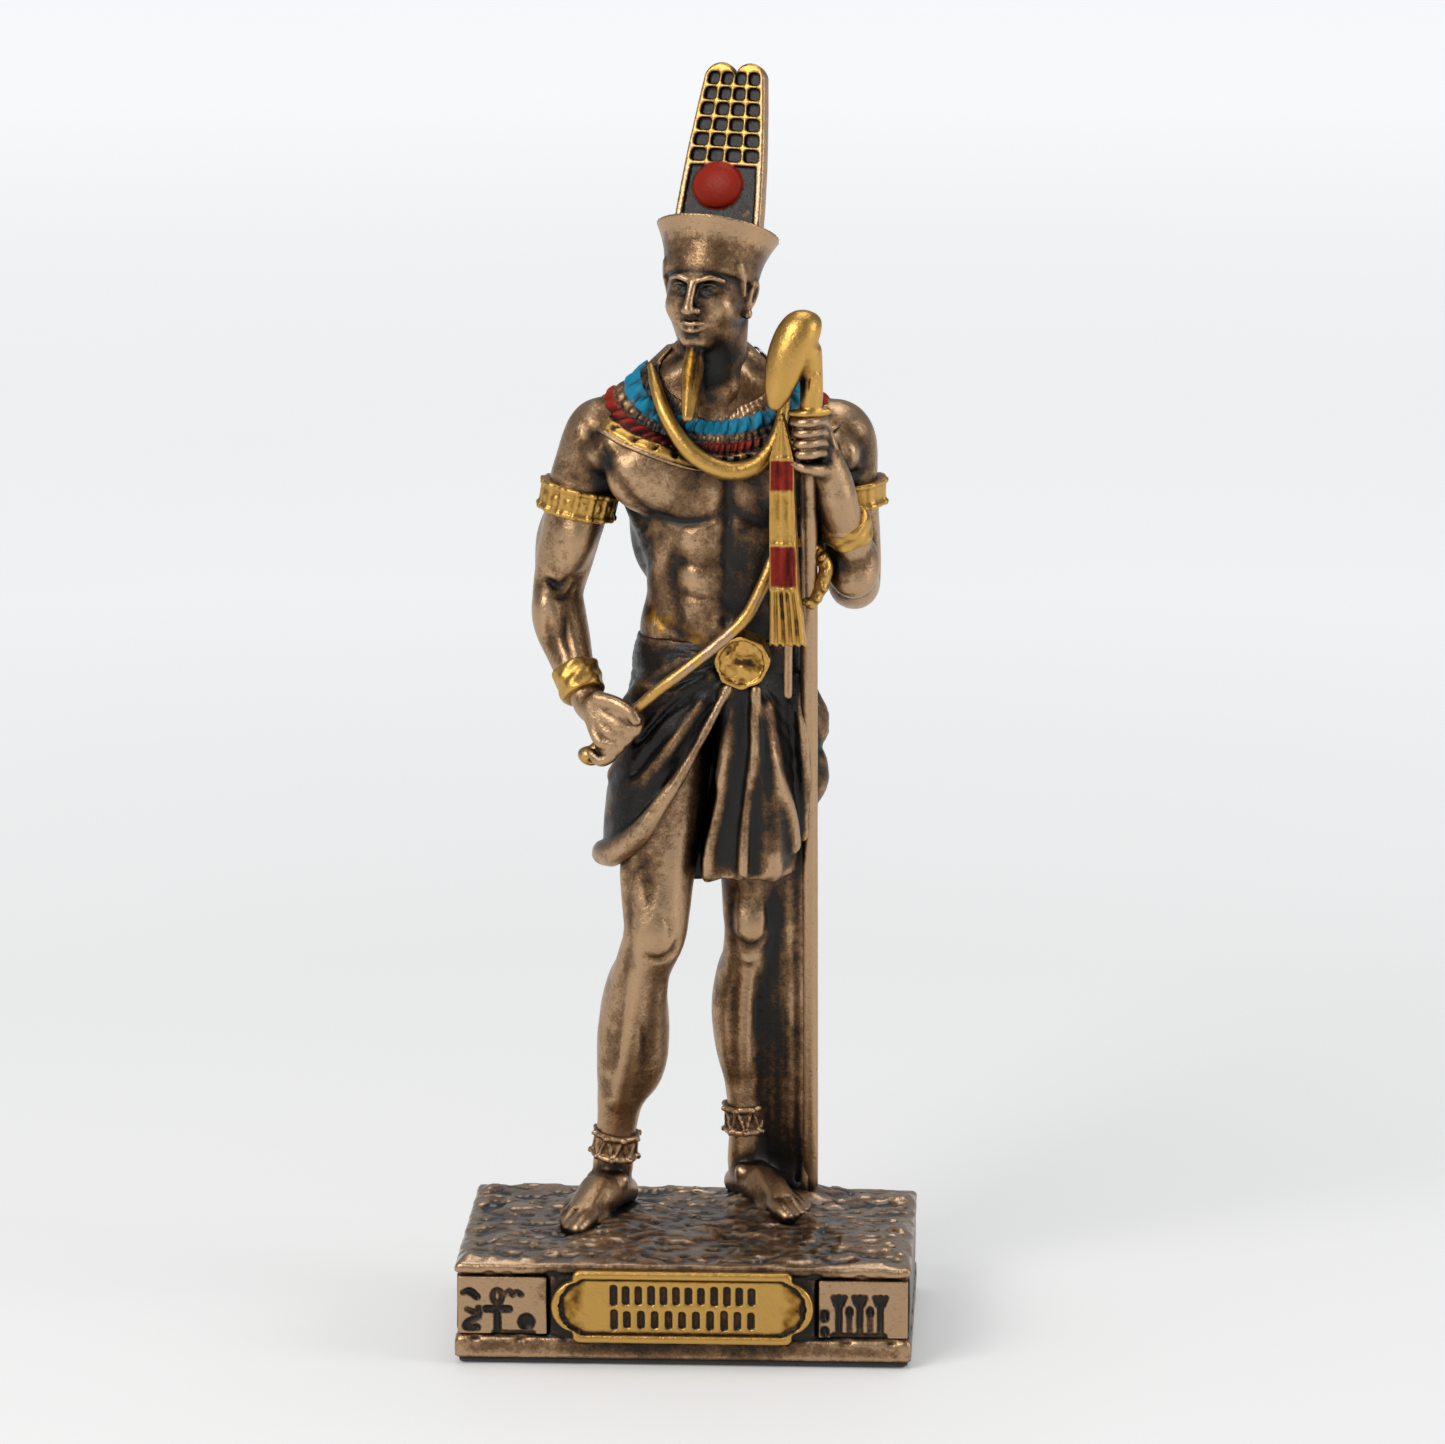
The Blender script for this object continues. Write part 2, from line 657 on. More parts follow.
def make_piece(name, clay, paint=None, darkness=None, lumps=0.03, lump_size=1.6, relief=None, varnish=None):
    """Skins a block of clay, works out wear and paint on its points, and makes the object."""
    points, faces = skin(clay)
    points = relax(clay, points, faces)
    outward = slopes(clay, points)
    raised = 0.0
    if relief is not None:
        raised = relief(points, outward)
        points = points + outward * raised[:, None]
    if lumps:
        swell = mottle(points, lump_size, 11) - 0.5
        points = points + outward * (swell * lumps * 2)[:, None]
    wear = np.ones((len(points), 4), np.float32)
    margin = int(EDGE_ROOM / clay.pitch) + 1
    wide = np.pad(clay.field, margin, mode="reflect", reflect_type="odd")
    wide_low = clay.low - margin * clay.pitch
    near = np.clip(wide, -1.0, 1.0)
    ridge = np.zeros(len(points), np.float32)
    for reach, weight in RIDGE_LOOKS:
        steps = max(1, round(reach / clay.pitch))
        bend = sample_field(blurred(near, steps), wide_low, clay.pitch, points) - clay.sample(points)
        ridge += weight * bend / (steps * clay.pitch)
    wear[:, 0] = np.clip(0.5 + ridge * 2.2 + raised * 1.5, 0, 1)
    air = np.ones(len(points), np.float32)
    for far in AIR_LOOKS:
        found = sample_field(wide, wide_low, clay.pitch, points + outward * far)
        air -= np.clip(1 - found / far, 0, 1) * 0.3
    for field, far, weight in crowding:
        air -= sample_field(field, CROWD_LOW, CROWD_PITCH, points + outward * far) * weight
    wear[:, 1] = np.clip(air, 0, 1)
    wear[:, 2] = 0 if darkness is None else np.clip(darkness(points, outward) * 0.65, -1, 1)
    wear[:, 3] = 0 if varnish is None else varnish(points, outward)
    coats = np.zeros((len(points), 4), np.float32)
    coats[:, 3] = 1
    if paint is not None:
        for channel, coat in enumerate(COATS):
            if paint.get(coat):
                coats[:, channel] = np.clip(paint[coat](points, outward), 0, 1)
    piece = mesh_object(name, to_metres(points), faces, BRONZE)
    for label, values in (("wear", wear), ("paint", coats)):
        made = piece.data.attributes.new(label, "FLOAT_COLOR", "POINT")
        made.data.foreach_set("color", values.ravel())
    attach(piece, "root")
    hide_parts("cast_figure")
    print(name, len(faces) * 2, "triangles")


# The sculpture: each block of clay, with its paint and its darker patina

works = []


def keep(name, clay, **looks):
    works.append((name, clay, looks))


def near_shape(shape, points, reach=0.12):
    """1 on a shape's surface and inside it, 0 away from it."""
    found = shape[1](*points.T)
    return 1 - smooth_step(reach * 0.4, reach * 1.6, found)


def blot(centre, radii):
    """How much of this soft oval blot each point has."""
    def share(points):
        gap = sum(((points[:, i] - centre[i]) / radii[i]) ** 2 for i in range(3))
        ragged = mottle(points, 1.5, 87) - 0.5
        return 1 - smooth_step(0.1, 1.25, gap + 1.5 * ragged)
    return share


def trunk_forms(clay):
    clay.add(stack([
        (2.2, 4.6, 40.0, 6.0, 4.2), (2.27, 4.5, 43.3, 5.7, 3.8), (2.48, 4.4, 45.9, 5.7, 3.6),
        (2.62, 4.3, 47.8, 6.1, 3.6), (2.6, 4.4, 50.3, 7.1, 4.0), (2.3, 4.5, 53.1, 7.9, 4.3),
        (2.0, 4.7, 55.6, 8.5, 4.2), (1.8, 4.7, 57.4, 8.3, 3.7), (1.4, 4.6, 58.9, 6.9, 3.0),
        (1.2, 4.4, 60.1, 5.0, 2.5), (1.3, 4.0, 61.2, 3.2, 2.3), (1.5, 3.6, 62.0, 2.2, 2.2),
    ], 2.2))
    for side, centre in ((-1, -1.75), (1, 6.3)):
        clay.add(ball((centre, 1.75, 53.6), (4.3, 1.85, 2.95), side * -14, 10, side * -8), 0.3)
        clay.add(ball((centre + side * 2.9, 2.6, 55.3), (2.7, 1.9, 2.0), side * -20), 0.7)
        clay.add(ball((2.3 + side * 4.1, 7.2, 54.6), (3.5, 1.8, 4.1), side * 12), 0.9)
        clay.add(ball((2.4 + side * 4.8, 6.0, 49.6), (2.2, 2.0, 4.2), side * 18), 0.8)
        clay.add(tube([(2.4 + side * 1.5, 7.0, 42, 1.2), (2.4 + side * 1.5, 7.0, 46, 1.2),
                       (2.3 + side * 1.5, 7.6, 52, 1.0)]), 0.8)
    clay.add(ball((2.3, 2.4, 45.2), (3.3, 1.9, 4.6)), 0.8)
    clay.cut(tube([(2.7, 0.3, 57.0, 0.25), (2.7, -0.25, 54.0, 0.4), (2.7, -0.1, 51.2, 0.4)]), 0.9)
    for level, wide in ((49.0, 1.5), (46.7, 1.5), (44.4, 1.4)):
        clay.add(ball((1.05, 1.35, level), (wide, 0.8, 1.3), 8), 0.9)
        clay.add(ball((4.15, 1.35, level), (wide, 0.8, 1.3), -8), 0.9)
    clay.add(ball((2.4, 1.4, 42.6), (2.9, 1.5, 1.9)), 0.7)
    clay.cut(ball((2.45, -0.15, 43.7), (0.3, 0.5, 0.4)), 0.3)
    # Lower edge of the ribs, and the ribs that show at the flank
    for side in (-1, 1):
        rib = [(1.0, 1.3, 50.4, 0.3), (3.0, 1.6, 49.5, 0.5), (4.6, 2.5, 47.6, 0.4), (5.0, 3.6, 46.0, 0.2)]
        clay.add(tube([(2.6 + side * x, y, z, r) for x, y, z, r in rib]), 1.2)
        for x, y, z in ((-4.6, 2.2, 51.0), (-5.0, 2.9, 49.7), (-5.2, 3.6, 48.4)):
            clay.add(ball((2.6 - side * x * 1.02, y, z), (0.95, 0.8, 0.55), side * 40), 0.4)
        clay.add(ball((2.3 + side * 4.1, 4.2, 42.6), (1.7, 2.3, 2.0)), 1.0)
    clay.add(tube([(-0.3, 4.4, 62.7, 0.8), (-2.4, 4.6, 60.4, 1.0), (-5.0, 4.8, 58.2, 1.2)]), 0.9)
    clay.add(tube([(3.2, 4.4, 62.4, 0.8), (5.6, 4.6, 59.9, 1.0), (8.4, 4.8, 57.9, 1.2)]), 0.9)
    clay.cut(tube([(2.0, 9.1, 58, 0.5), (2.3, 9.0, 50, 0.6), (2.4, 8.7, 43, 0.6)]), 1.3)


def arm_forms(clay):
    clay.add(ball((-6.5, 4.8, 55.4), (2.75, 2.75, 3.4)), 0.8)
    clay.add(ball((10.0, 4.8, 55.4), (2.9, 2.75, 3.4)), 0.8)
    clay.add(tube([
        (-6.7, 4.8, 56.0, 2.0), (-7.6, 4.8, 53.6, 2.35), (-8.3, 4.8, 50.6, 2.2), (-9.1, 5.0, 47.3, 2.0),
        (-9.6, 5.1, 44.9, 1.8), (-9.45, 4.7, 43.2, 1.85), (-9.0, 4.0, 41.6, 1.75), (-8.4, 2.8, 39.9, 1.45),
        (-7.9, 1.9, 38.8, 1.2),
    ]), 0.7)
    clay.add(ball((-8.3, 3.6, 49.0), (1.45, 1.5, 2.7), 0, 0, 12), 0.6)
    clay.add(ball((-9.8, 6.1, 48.6), (1.4, 1.3, 3.0), 0, 0, 12), 0.6)
    clay.add(ball((-9.9, 4.2, 42.9), (1.35, 1.6, 2.6), 0, 15, -14), 0.6)
    clay.cut(tube([(-7.9, 2.9, 46.1, 0.12), (-9.0, 2.95, 45.6, 0.16), (-10.2, 3.4, 45.9, 0.1)]), 0.35)
    clay.add(tube([
        (10.2, 4.8, 56.0, 2.2), (10.7, 4.9, 53.6, 2.25), (11.1, 5.1, 50.6, 2.0), (11.4, 5.4, 47.6, 1.85),
        (11.4, 5.2, 45.7, 1.8), (11.3, 3.9, 46.2, 1.8), (11.1, 1.9, 48.6, 1.65), (10.85, 0.75, 50.3, 1.38),
    ]), 0.7)
    clay.add(ball((11.4, 2.2, 47.4), (1.85, 1.5, 2.4), 0, -30), 0.6)
    clay.cut(tube([(9.6, 2.6, 49.9, 0.2), (11.1, 2.7, 50.4, 0.35), (13.0, 3.4, 50.0, 0.2)]), 0.6)


def right_hand():
    """The right hand, its back to the viewer, closed on the crook."""
    clay = Clay((-9.4, -3.2, 33.0), (-2.4, 3.2, 40.4), pitch=0.11)
    clay.add(tube([(-8.2, 2.5, 39.6, 1.25), (-7.7, 1.6, 38.4, 1.15), (-6.9, 0.8, 37.4, 1.1)]))
    clay.add(tube([(-7.1, 0.7, 37.6, 1.05), (-6.1, 0.0, 36.9, 1.15), (-5.0, -0.5, 36.2, 1.05)],
                  flat=((0.45, 0.35, -0.8), 1.35)), 0.5)
    for step in range(4):
        along = step / 3
        x, y, z = -3.65 - 1.75 * along, -1.0 + 0.15 * along, 36.85 - 1.85 * along
        clay.add(tube([(-6.9 - 0.2 * along, -0.2, 37.9 - 0.9 * along, 0.45),
                       (x - 1.0, y - 0.15, z + 0.35, 0.42), (x, y - 0.2, z, 0.5)]), 0.3)
        clay.add(tube([(x, y - 0.2, z, 0.52), (x - 0.15, y - 0.25, z - 0.75, 0.46),
                       (x - 0.85, y - 0.1, z - 1.15, 0.42), (x - 1.5, y + 0.4, z - 0.75, 0.4)]), 0.07)
    clay.add(tube([(-6.5, -0.3, 38.2, 0.55), (-5.2, -1.0, 38.0, 0.5), (-4.2, -1.45, 37.5, 0.46),
                   (-3.7, -1.7, 36.9, 0.38)]), 0.2)
    keep("hand_right", clay, lumps=0.015, darkness=lambda p, n: 0.3 + 0.5 * smooth_step(0.2, 0.8, -n[:, 2]))


def left_hand():
    """The left hand, its fingers one above the other across the staff."""
    clay = Clay((6.2, -4.6, 50.2), (12.6, 2.4, 59.4), pitch=0.11)
    clay.add(tube([(10.95, 1.1, 49.8, 1.45), (10.7, 0.2, 50.9, 1.35), (10.3, -0.6, 52.6, 1.25)]))
    clay.add(tube([(10.5, -0.3, 52.0, 1.2), (10.2, -0.7, 53.5, 1.35), (9.6, -1.1, 55.2, 1.25),
                   (9.2, -1.0, 56.6, 1.0), (9.1, -0.9, 57.9, 0.8)], flat=((0.7, -0.7, 0), 1.15)), 0.5)
    for step in range(4):
        z = 58.35 - 0.74 * step
        inner = 7.35 + 0.12 * step
        clay.add(tube([
            (10.0, -1.3, z - 2.0, 0.4), (9.5, -1.6, z - 0.6, 0.42), (9.2, -2.5, z + 0.02, 0.42),
            (8.6, -3.4, z + 0.05, 0.38), (7.9, -3.45, z, 0.36), (inner, -2.9, z - 0.05, 0.33),
        ]), 0.05)
    clay.add(tube([(9.6, -1.5, 54.8, 0.7), (8.9, -2.8, 55.0, 0.5), (8.1, -3.2, 55.2, 0.42),
                   (7.4, -2.8, 55.4, 0.36)]), 0.2)
    fingers = blot((8.6, -2.4, 56.8), (2.6, 2.4, 3.0))
    keep("hand_left", clay, lumps=0.015, darkness=lambda p, n: 0.6 * fingers(p) + 0.2)


def torso_piece():
    clay = Clay((-13.2, -3.6, 36.9), (15.0, 10.6, 64.2), pitch=0.18)
    trunk_forms(clay)
    chest = clay.field.copy()
    arm_forms(clay)
    shaded = (
        (0.85, blot((5.6, -0.3, 47.0), (3.7, 2.6, 8.0))), (0.9, blot((8.8, 2.0, 52.0), (3.0, 4.0, 6.0))),
        (0.75, blot((-4.6, 3.6, 48.0), (2.2, 3.2, 7.5))), (0.5, blot((11.0, 3.6, 55.0), (2.2, 2.2, 2.0))),
        (0.3, blot((-6.2, 2.2, 54.0), (1.3, 1.6, 2.0))),
    )

    def darkness(points, outward):
        x, _, z = points.T
        made = sum(weight * share(points) for weight, share in shaded) + 0.14
        made += 0.45 * smooth_step(0.2, 0.9, outward[:, 1]) * (z < 57)
        return made + 0.3 * (1 - smooth_step(41.0, 44.5, z)) * (x > -6) * (x < 9.5)

    def gold(points, outward):
        # Rubbed gold left along the waist
        patch = mottle(points, 1.1, 31)
        waist = 1 - smooth_step(0.4, 1.1, np.abs(points[:, 2] - 42.9 + 0.45 * (points[:, 0] + 1.2)))
        front = plateau(-4.4, -3.2, 0.4, 1.6, points[:, 0])
        return smooth_step(0.36, 0.44, patch) * waist * front * (outward[:, 1] < 0.2)

    def relief(points, outward):
        return drawn_relief(points, outward, TORSO_LINES) + drawn_relief(points, outward, BACK_LINES, 1)

    keep("figure_torso_and_arms", clay, paint={"gold": gold}, darkness=darkness, relief=relief)
    return chest, clay.low, clay.pitch


# Shallow modelling drawn on the torso and arms: (x, z) points, half width and height
TORSO_LINES = (
    ([(2.62, 56.5), (2.68, 54.0), (2.62, 51.6), (2.5, 48.5), (2.35, 45.2)], 0.32, -0.20),
    ([(-5.2, 54.4), (-4.2, 52.6), (-2.6, 51.2), (-0.6, 50.6), (1.4, 51.0), (2.5, 52.2)], 0.34, -0.26),
    ([(9.4, 52.6), (7.6, 51.2), (5.6, 50.7), (3.8, 51.0), (2.8, 52.0)], 0.34, -0.24),
    ([(-6.6, 56.8), (-5.9, 55.2), (-5.4, 53.6)], 0.4, -0.28),
    ([(-7.8, 57.6), (-6.9, 56.0), (-6.3, 54.2), (-6.2, 52.2)], 0.35, -0.16),
    ([(-8.6, 54.0), (-8.2, 53.0)], 0.4, -0.1),
    ([(-0.7, 50.0), (-1.4, 47.8), (-1.2, 45.2), (-0.3, 43.2)], 0.34, -0.16),
    ([(0.1, 49.6), (0.0, 47.6), (0.3, 45.6)], 0.5, 0.08),
    ([(-1.2, 48.0), (0.6, 47.6), (2.3, 47.8)], 0.26, -0.12),
    ([(-1.0, 45.7), (0.7, 45.3), (2.2, 45.5)], 0.26, -0.12),
    ([(-3.1, 50.6), (-3.6, 49.6), (-4.3, 49.2)], 0.22, -0.16),
    ([(-2.9, 49.3), (-3.4, 48.3), (-4.2, 47.9)], 0.22, -0.16),
    ([(-2.7, 47.9), (-3.2, 47.0), (-4.0, 46.6)], 0.22, -0.14),
    ([(-3.2, 44.4), (-1.9, 43.2), (-0.5, 42.7), (1.4, 42.5)], 0.4, -0.14),
    ([(-8.7, 46.2), (-9.4, 45.5), (-10.3, 45.9)], 0.2, -0.22),
    ([(-8.3, 45.6), (-8.9, 44.8), (-9.9, 44.9)], 0.16, -0.14),
    ([(-9.0, 49.2), (-8.9, 47.4), (-8.8, 46.4)], 0.3, -0.12),
    ([(-9.0, 44.2), (-8.9, 42.2), (-8.3, 40.4)], 0.28, -0.20),
    ([(-10.2, 44.0), (-10.2, 42.4), (-9.5, 40.6)], 0.3, -0.12),
    ([(10.6, 56.8), (11.2, 55.3), (11.4, 54.0)], 0.3, -0.16),
    ([(12.0, 55.8), (11.9, 54.2)], 0.28, -0.10),
    ([(10.0, 55.0), (10.8, 54.2), (11.6, 53.9), (12.4, 54.2)], 0.25, -0.16),
    ([(10.1, 48.8), (10.9, 47.6), (11.0, 46.0)], 0.35, -0.12),
)
BACK_LINES = (
    ([(-1.0, 58.0), (-3.2, 55.4), (-3.4, 52.0), (-1.2, 50.6)], 0.4, -0.22),
    ([(5.2, 58.0), (7.4, 55.4), (7.6, 52.0), (5.6, 50.6)], 0.4, -0.22),
    ([(-3.8, 50.6), (-2.2, 47.4), (-1.6, 44.0)], 0.4, -0.16),
    ([(8.6, 50.6), (7.0, 47.4), (6.2, 44.0)], 0.4, -0.16),
    ([(-9.6, 50.0), (-9.4, 47.0)], 0.3, -0.14),
)


def collar_level(x, y, z):
    return np.sqrt(sum(((v - c) / r) ** 2 for v, c, r in zip((x, y, z), COLLAR_CENTRE, COLLAR_REACH)))


# Rings of the collar from the neck out: inner level, outer level, height, coat
COLLAR_RINGS = (
    (0.40, 0.52, 0.14, "beads"), (0.52, 0.665, 0.26, "blue"), (0.665, 0.735, 0.12, "beads"),
    (0.735, 0.845, 0.22, "red"), (0.845, 0.965, 0.34, "gold"), (0.965, 1.02, 0.26, "rim"),
)
# Strap across the chest: (x, y, z, radius)
STRAP = [
    (-2.9, 3.1, 61.3, 0.25), (-2.55, 1.7, 60.3, 0.42), (-2.0, 0.6, 58.9, 0.5), (-1.2, -0.1, 57.4, 0.56),
    (0.0, -0.55, 55.9, 0.62), (1.4, -0.75, 54.95, 0.66), (3.0, -0.75, 54.5, 0.68),
    (4.6, -0.65, 54.9, 0.66), (5.6, -0.3, 55.9, 0.6), (6.2, 0.3, 57.2, 0.52), (6.5, 1.2, 58.6, 0.45),
    (6.6, 2.4, 60.0, 0.35),
]


def collar_piece(chest, chest_low, chest_pitch):
    clay = Clay((-8.4, -4.6, 52.6), (12.2, 12.0, 62.6), pitch=0.135)
    x, y, z = clay.grid()
    shape = clay.field.shape
    spots = np.stack([np.broadcast_to(v, shape).ravel() for v in (x, y, z)], 1)
    body = sample_field(chest, chest_low, chest_pitch, spots).reshape(shape)
    level = collar_level(x, y, z)
    turn = np.arctan2(x - COLLAR_CENTRE[0], COLLAR_CENTRE[1] - y)
    height = np.zeros(shape, np.float32)
    for inner, outer, proud, kind in COLLAR_RINGS:
        inside = plateau(inner - 0.004, inner + 0.012, outer - 0.012, outer + 0.004, level)
        middle = (inner + outer) / 2
        across = np.clip((level - middle) / ((outer - inner) / 2), -1, 1)
        form = proud * (0.75 + 0.25 * (1 - across * across))
        if kind == "beads":
            form = form + 0.07 * np.cos(turn * 62)
        elif kind == "red":
            form = form + 0.10 * np.sin(turn * 52 + level * 30)
        elif kind == "blue":
            form = form + 0.12 * np.sin(turn * 30 + level * 22) + 0.05 * np.sin(turn * 71)
        elif kind == "gold":
            hole = smooth_step(0.55, 0.8, np.cos(turn * 30)) * (1 - smooth_step(0.35, 0.6, np.abs(across)))
            form = form - 0.3 * hole
        height += inside * form
    shell = np.maximum(body - 0.10 - height, np.maximum(level - 1.0, 0.40 - level) * 5.0)
    hole = tube([(1.7, 4.2, 56.0, 3.0), (1.4, 3.1, 66.0, 2.9)])[1](x, y, z)
    shell = np.maximum(shell, -hole)
    # The back of the shell is hollowed so that it stays a thin layer over the body
    shell = np.maximum(shell, -(body + 0.9))
    clay.field = np.minimum(clay.field, shell.astype(np.float32))
    strap = tube(STRAP)
    clay.add(strap, 0.06)

    def ring_of(points, kind):
        found = collar_level(*points.T)
        made = np.zeros(len(points))
        for inner, outer, proud, name in COLLAR_RINGS:
            if name == kind:
                edge = 0.012
                made += plateau(inner - edge, inner + edge, outer - edge, outer + edge, found)
        return made * (1 - near_shape(strap, points, 0.1)) * top(points)

    def top(points):
        return smooth_step(0.12, 0.26, sample_field(chest, chest_low, chest_pitch, points))

    def gold(points, outward):
        return np.maximum(near_shape(strap, points, 0.1), ring_of(points, "gold"))

    def darkness(points, outward):
        shares = (("blue", 0.25), ("red", 0.35), ("gold", 0.2), ("beads", 0.95))
        made = sum(share * ring_of(points, kind) for kind, share in shares)
        return made + 0.3 * near_shape(strap, points, 0.1)

    keep("figure_collar", clay, lumps=0.035, darkness=darkness, paint={
        "gold": gold, "red": lambda p, n: ring_of(p, "red"), "blue": lambda p, n: ring_of(p, "blue"),
    })


def head_piece():
    clay = Clay((-4.6, -4.2, 57.4), (7.4, 10.5, 73.2), pitch=0.115)
    holder = leaning_frame(HEAD_CENTRE, HEAD_TURN, HEAD_LEAN)

    def feature(centre, radii, soft, turn=0.0):
        clay.add(framed(ball(centre, radii, turn), holder), soft)

    def hollow(centre, radii, soft, turn=0.0):
        clay.cut(framed(ball(centre, radii, turn), holder), soft)

    def line(rows, soft, cut=False):
        (clay.cut if cut else clay.add)(framed(tube(rows), holder), soft)

    clay.add(tube([(1.75, 4.3, 57.6, 2.9), (1.65, 4.0, 59.6, 2.55), (1.55, 3.7, 61.2, 2.3),
                   (1.4, 3.1, 64.0, 2.25)]))
    for foot, top in (((1.3, 2.1, 60.0), (-0.7, 3.4, 64.6)), ((2.4, 2.1, 60.0), (3.2, 3.6, 64.8))):
        clay.add(tube([(*foot, 0.45), (*top, 0.6)]), 1.0)
    feature((0, 0.9, -0.5), (2.95, 3.6, 3.5), 0.0)
    feature((0, -1.0, 0.45), (2.3, 2.5, 2.35), 0.6)
    feature((0, -2.75, 1.75), (1.05, 0.7, 0.85), 0.6)
    for side in (-1, 1):
        hollow((side * 1.2, 0.95, 3.05), (0.95, 0.62, 0.75), 0.45)
        feature((side * 1.45, -0.35, 1.55), (0.95, 0.9, 0.95), 0.7)
        feature((side * 1.18, 0.9, 2.0), (0.72, 0.42, 0.6), 0.08)
        # Brow, upper and lower lid
        line([(side * 0.5, 1.5, 2.85, 0.16), (side * 1.2, 1.72, 2.72, 0.2),
              (side * 2.0, 1.55, 2.1, 0.14)], 0.25)
        line([(side * 0.5, 0.88, 2.55, 0.07), (side * 0.85, 1.2, 2.68, 0.1), (side * 1.4, 1.24, 2.52, 0.1),
              (side * 1.95, 0.95, 2.0, 0.07)], 0.08)
        line([(side * 0.5, 0.85, 2.5, 0.06), (side * 0.95, 0.62, 2.58, 0.08), (side * 1.5, 0.64, 2.4, 0.08),
              (side * 1.95, 0.88, 2.0, 0.06)], 0.08)
        feature((side * 0.42, -0.62, 2.95), (0.34, 0.3, 0.42), 0.18)
        hollow((side * 0.26, -0.82, 3.1), (0.14, 0.14, 0.2), 0.08)
        # Ears, with the fold of the rim
        feature((side * 2.95, 0.45, -0.7), (0.42, 1.25, 0.8), 0.25, side * -18)
        hollow((side * 3.38, 0.6, -0.6), (0.2, 0.6, 0.32), 0.2, side * -18)
        feature((side * 2.85, -0.75, -0.45), (0.36, 0.4, 0.36), 0.15)
    line([(0, 1.35, 2.85, 0.3), (0, 0.4, 3.25, 0.3), (0, -0.45, 3.6, 0.36)], 0.3)
    feature((0, -0.62, 3.5), (0.42, 0.34, 0.42), 0.2)
    line([(0, -0.95, 3.05, 0.14), (0, -1.25, 2.98, 0.12)], 0.1, True)
    line([(-1.0, -1.6, 2.45, 0.08), (-0.45, -1.48, 2.92, 0.2), (0, -1.55, 3.0, 0.18),
          (0.45, -1.48, 2.92, 0.2), (1.0, -1.6, 2.45, 0.08)], 0.15)
    line([(-0.85, -1.8, 2.45, 0.1), (0, -2.02, 2.88, 0.24), (0.85, -1.8, 2.45, 0.1)], 0.15)
    line([(-1.05, -1.68, 2.5, 0.05), (-0.5, -1.72, 2.98, 0.07), (0, -1.78, 3.1, 0.07),
          (0.5, -1.72, 2.98, 0.07), (1.05, -1.68, 2.5, 0.05)], 0.08, True)
    hollow((0, -2.38, 2.85), (0.7, 0.16, 0.3), 0.25)
    # The crown's side pieces in front of the ears
    for side in (-1, 1):
        line([(side * 2.75, 2.6, 1.1, 0.3), (side * 2.85, 1.6, 0.75, 0.3),
              (side * 2.85, 0.6, 0.4, 0.18)], 0.2)
    clay.add(crown_shape(), 0.2)
    beard = beard_shape()
    clay.add(beard, 0.08)

    def darkness(points, outward):
        under = blot((1.4, 0.6, 61.6), (3.6, 3.0, 2.6))(points)
        smudge = blot((-0.4, -1.6, 70.6), (1.6, 1.6, 0.9))(points)
        side, up, front = into_frame(holder, *points.T)
        face = np.exp(-((np.abs(side) - 1.15) ** 2 / 0.7 + (up - 0.95) ** 2 / 0.35)) * (front > 1.0)
        on_hat = into_frame(leaning_frame(HAT_BASE, HEAD_TURN, HAT_LEAN), *points.T)[1]
        face = face + 0.7 * np.exp(-((on_hat - 0.12) / 0.13) ** 2) * (front > -1.5) + 0.28 * (on_hat < 0.1)
        face = face + 0.3 * smooth_step(-0.4, 1.0, side) * (on_hat < 0.1)
        mouth = np.exp(-((np.abs(side) - 0.9) ** 2 / 0.6 + (up + 1.4) ** 2 / 0.6)) * (front > 1.0)
        made = 0.95 * under + 0.38 * (on_hat > 0.1) - 0.5 * mouth
        return made + 0.45 * smudge * mottle(points, 0.7, 5) * 1.6 + 0.75 * face

    keep("figure_head_and_crown", clay, lumps=0.015, darkness=darkness,
         paint={"gold": lambda p, n: near_shape(beard, p, 0.1)})


def crown_shape():
    """The flat-topped crown: round, drawn in at the brow and flared to a thin rim, leaning back."""
    holder = leaning_frame(HAT_BASE, HEAD_TURN, HAT_LEAN)
    levels = [0.25, 0.55, 1.0, 1.6, 2.3, 3.0, 3.6, HAT_HEIGHT]
    radii = [3.16, 3.3, 3.38, 3.46, 3.62, 3.88, 4.18, HAT_RIM_RADIUS]

    def distance(side, up, front):
        round_in = np.sqrt(side * side + front * front)
        wall = np.interp(up, levels, radii)
        body = (round_in - wall) * 0.93
        sunk = 1 - smooth_step(HAT_RIM_RADIUS - 0.9, HAT_RIM_RADIUS - 0.35, round_in)
        top = up - HAT_HEIGHT + 0.35 * sunk
        return np.maximum(np.maximum(body, top), levels[0] - up)

    reach = np.array((HAT_RIM_RADIUS, HAT_HEIGHT + 0.5, HAT_RIM_RADIUS))
    return framed(((-reach * (1, 0.3, 1), reach), distance), holder)


def beard_shape():
    """The narrow beard, a wedge with one groove down its front."""
    box, distance = tube([(0.3, 0.5, 62.7, 0.62), (0.2, 0.1, 61.6, 0.78), (0.05, -0.35, 60.2, 0.66),
                          (-0.05, -0.75, 58.9, 0.5), (-0.1, -1.0, 58.35, 0.4)])

    def ribbed(x, y, z):
        groove = 0.10 * np.exp(-((x - 0.35 + 0.12 * (61.6 - z)) / 0.12) ** 2)
        return distance(x, y, z) + groove

    return box, ribbed


def plume_half(height):
    share = np.clip(height / PLUME_HEIGHT, 0, 1)
    return PLUME_HALF_BASE + (PLUME_HALF_TOP - PLUME_HALF_BASE) * share ** 1.5


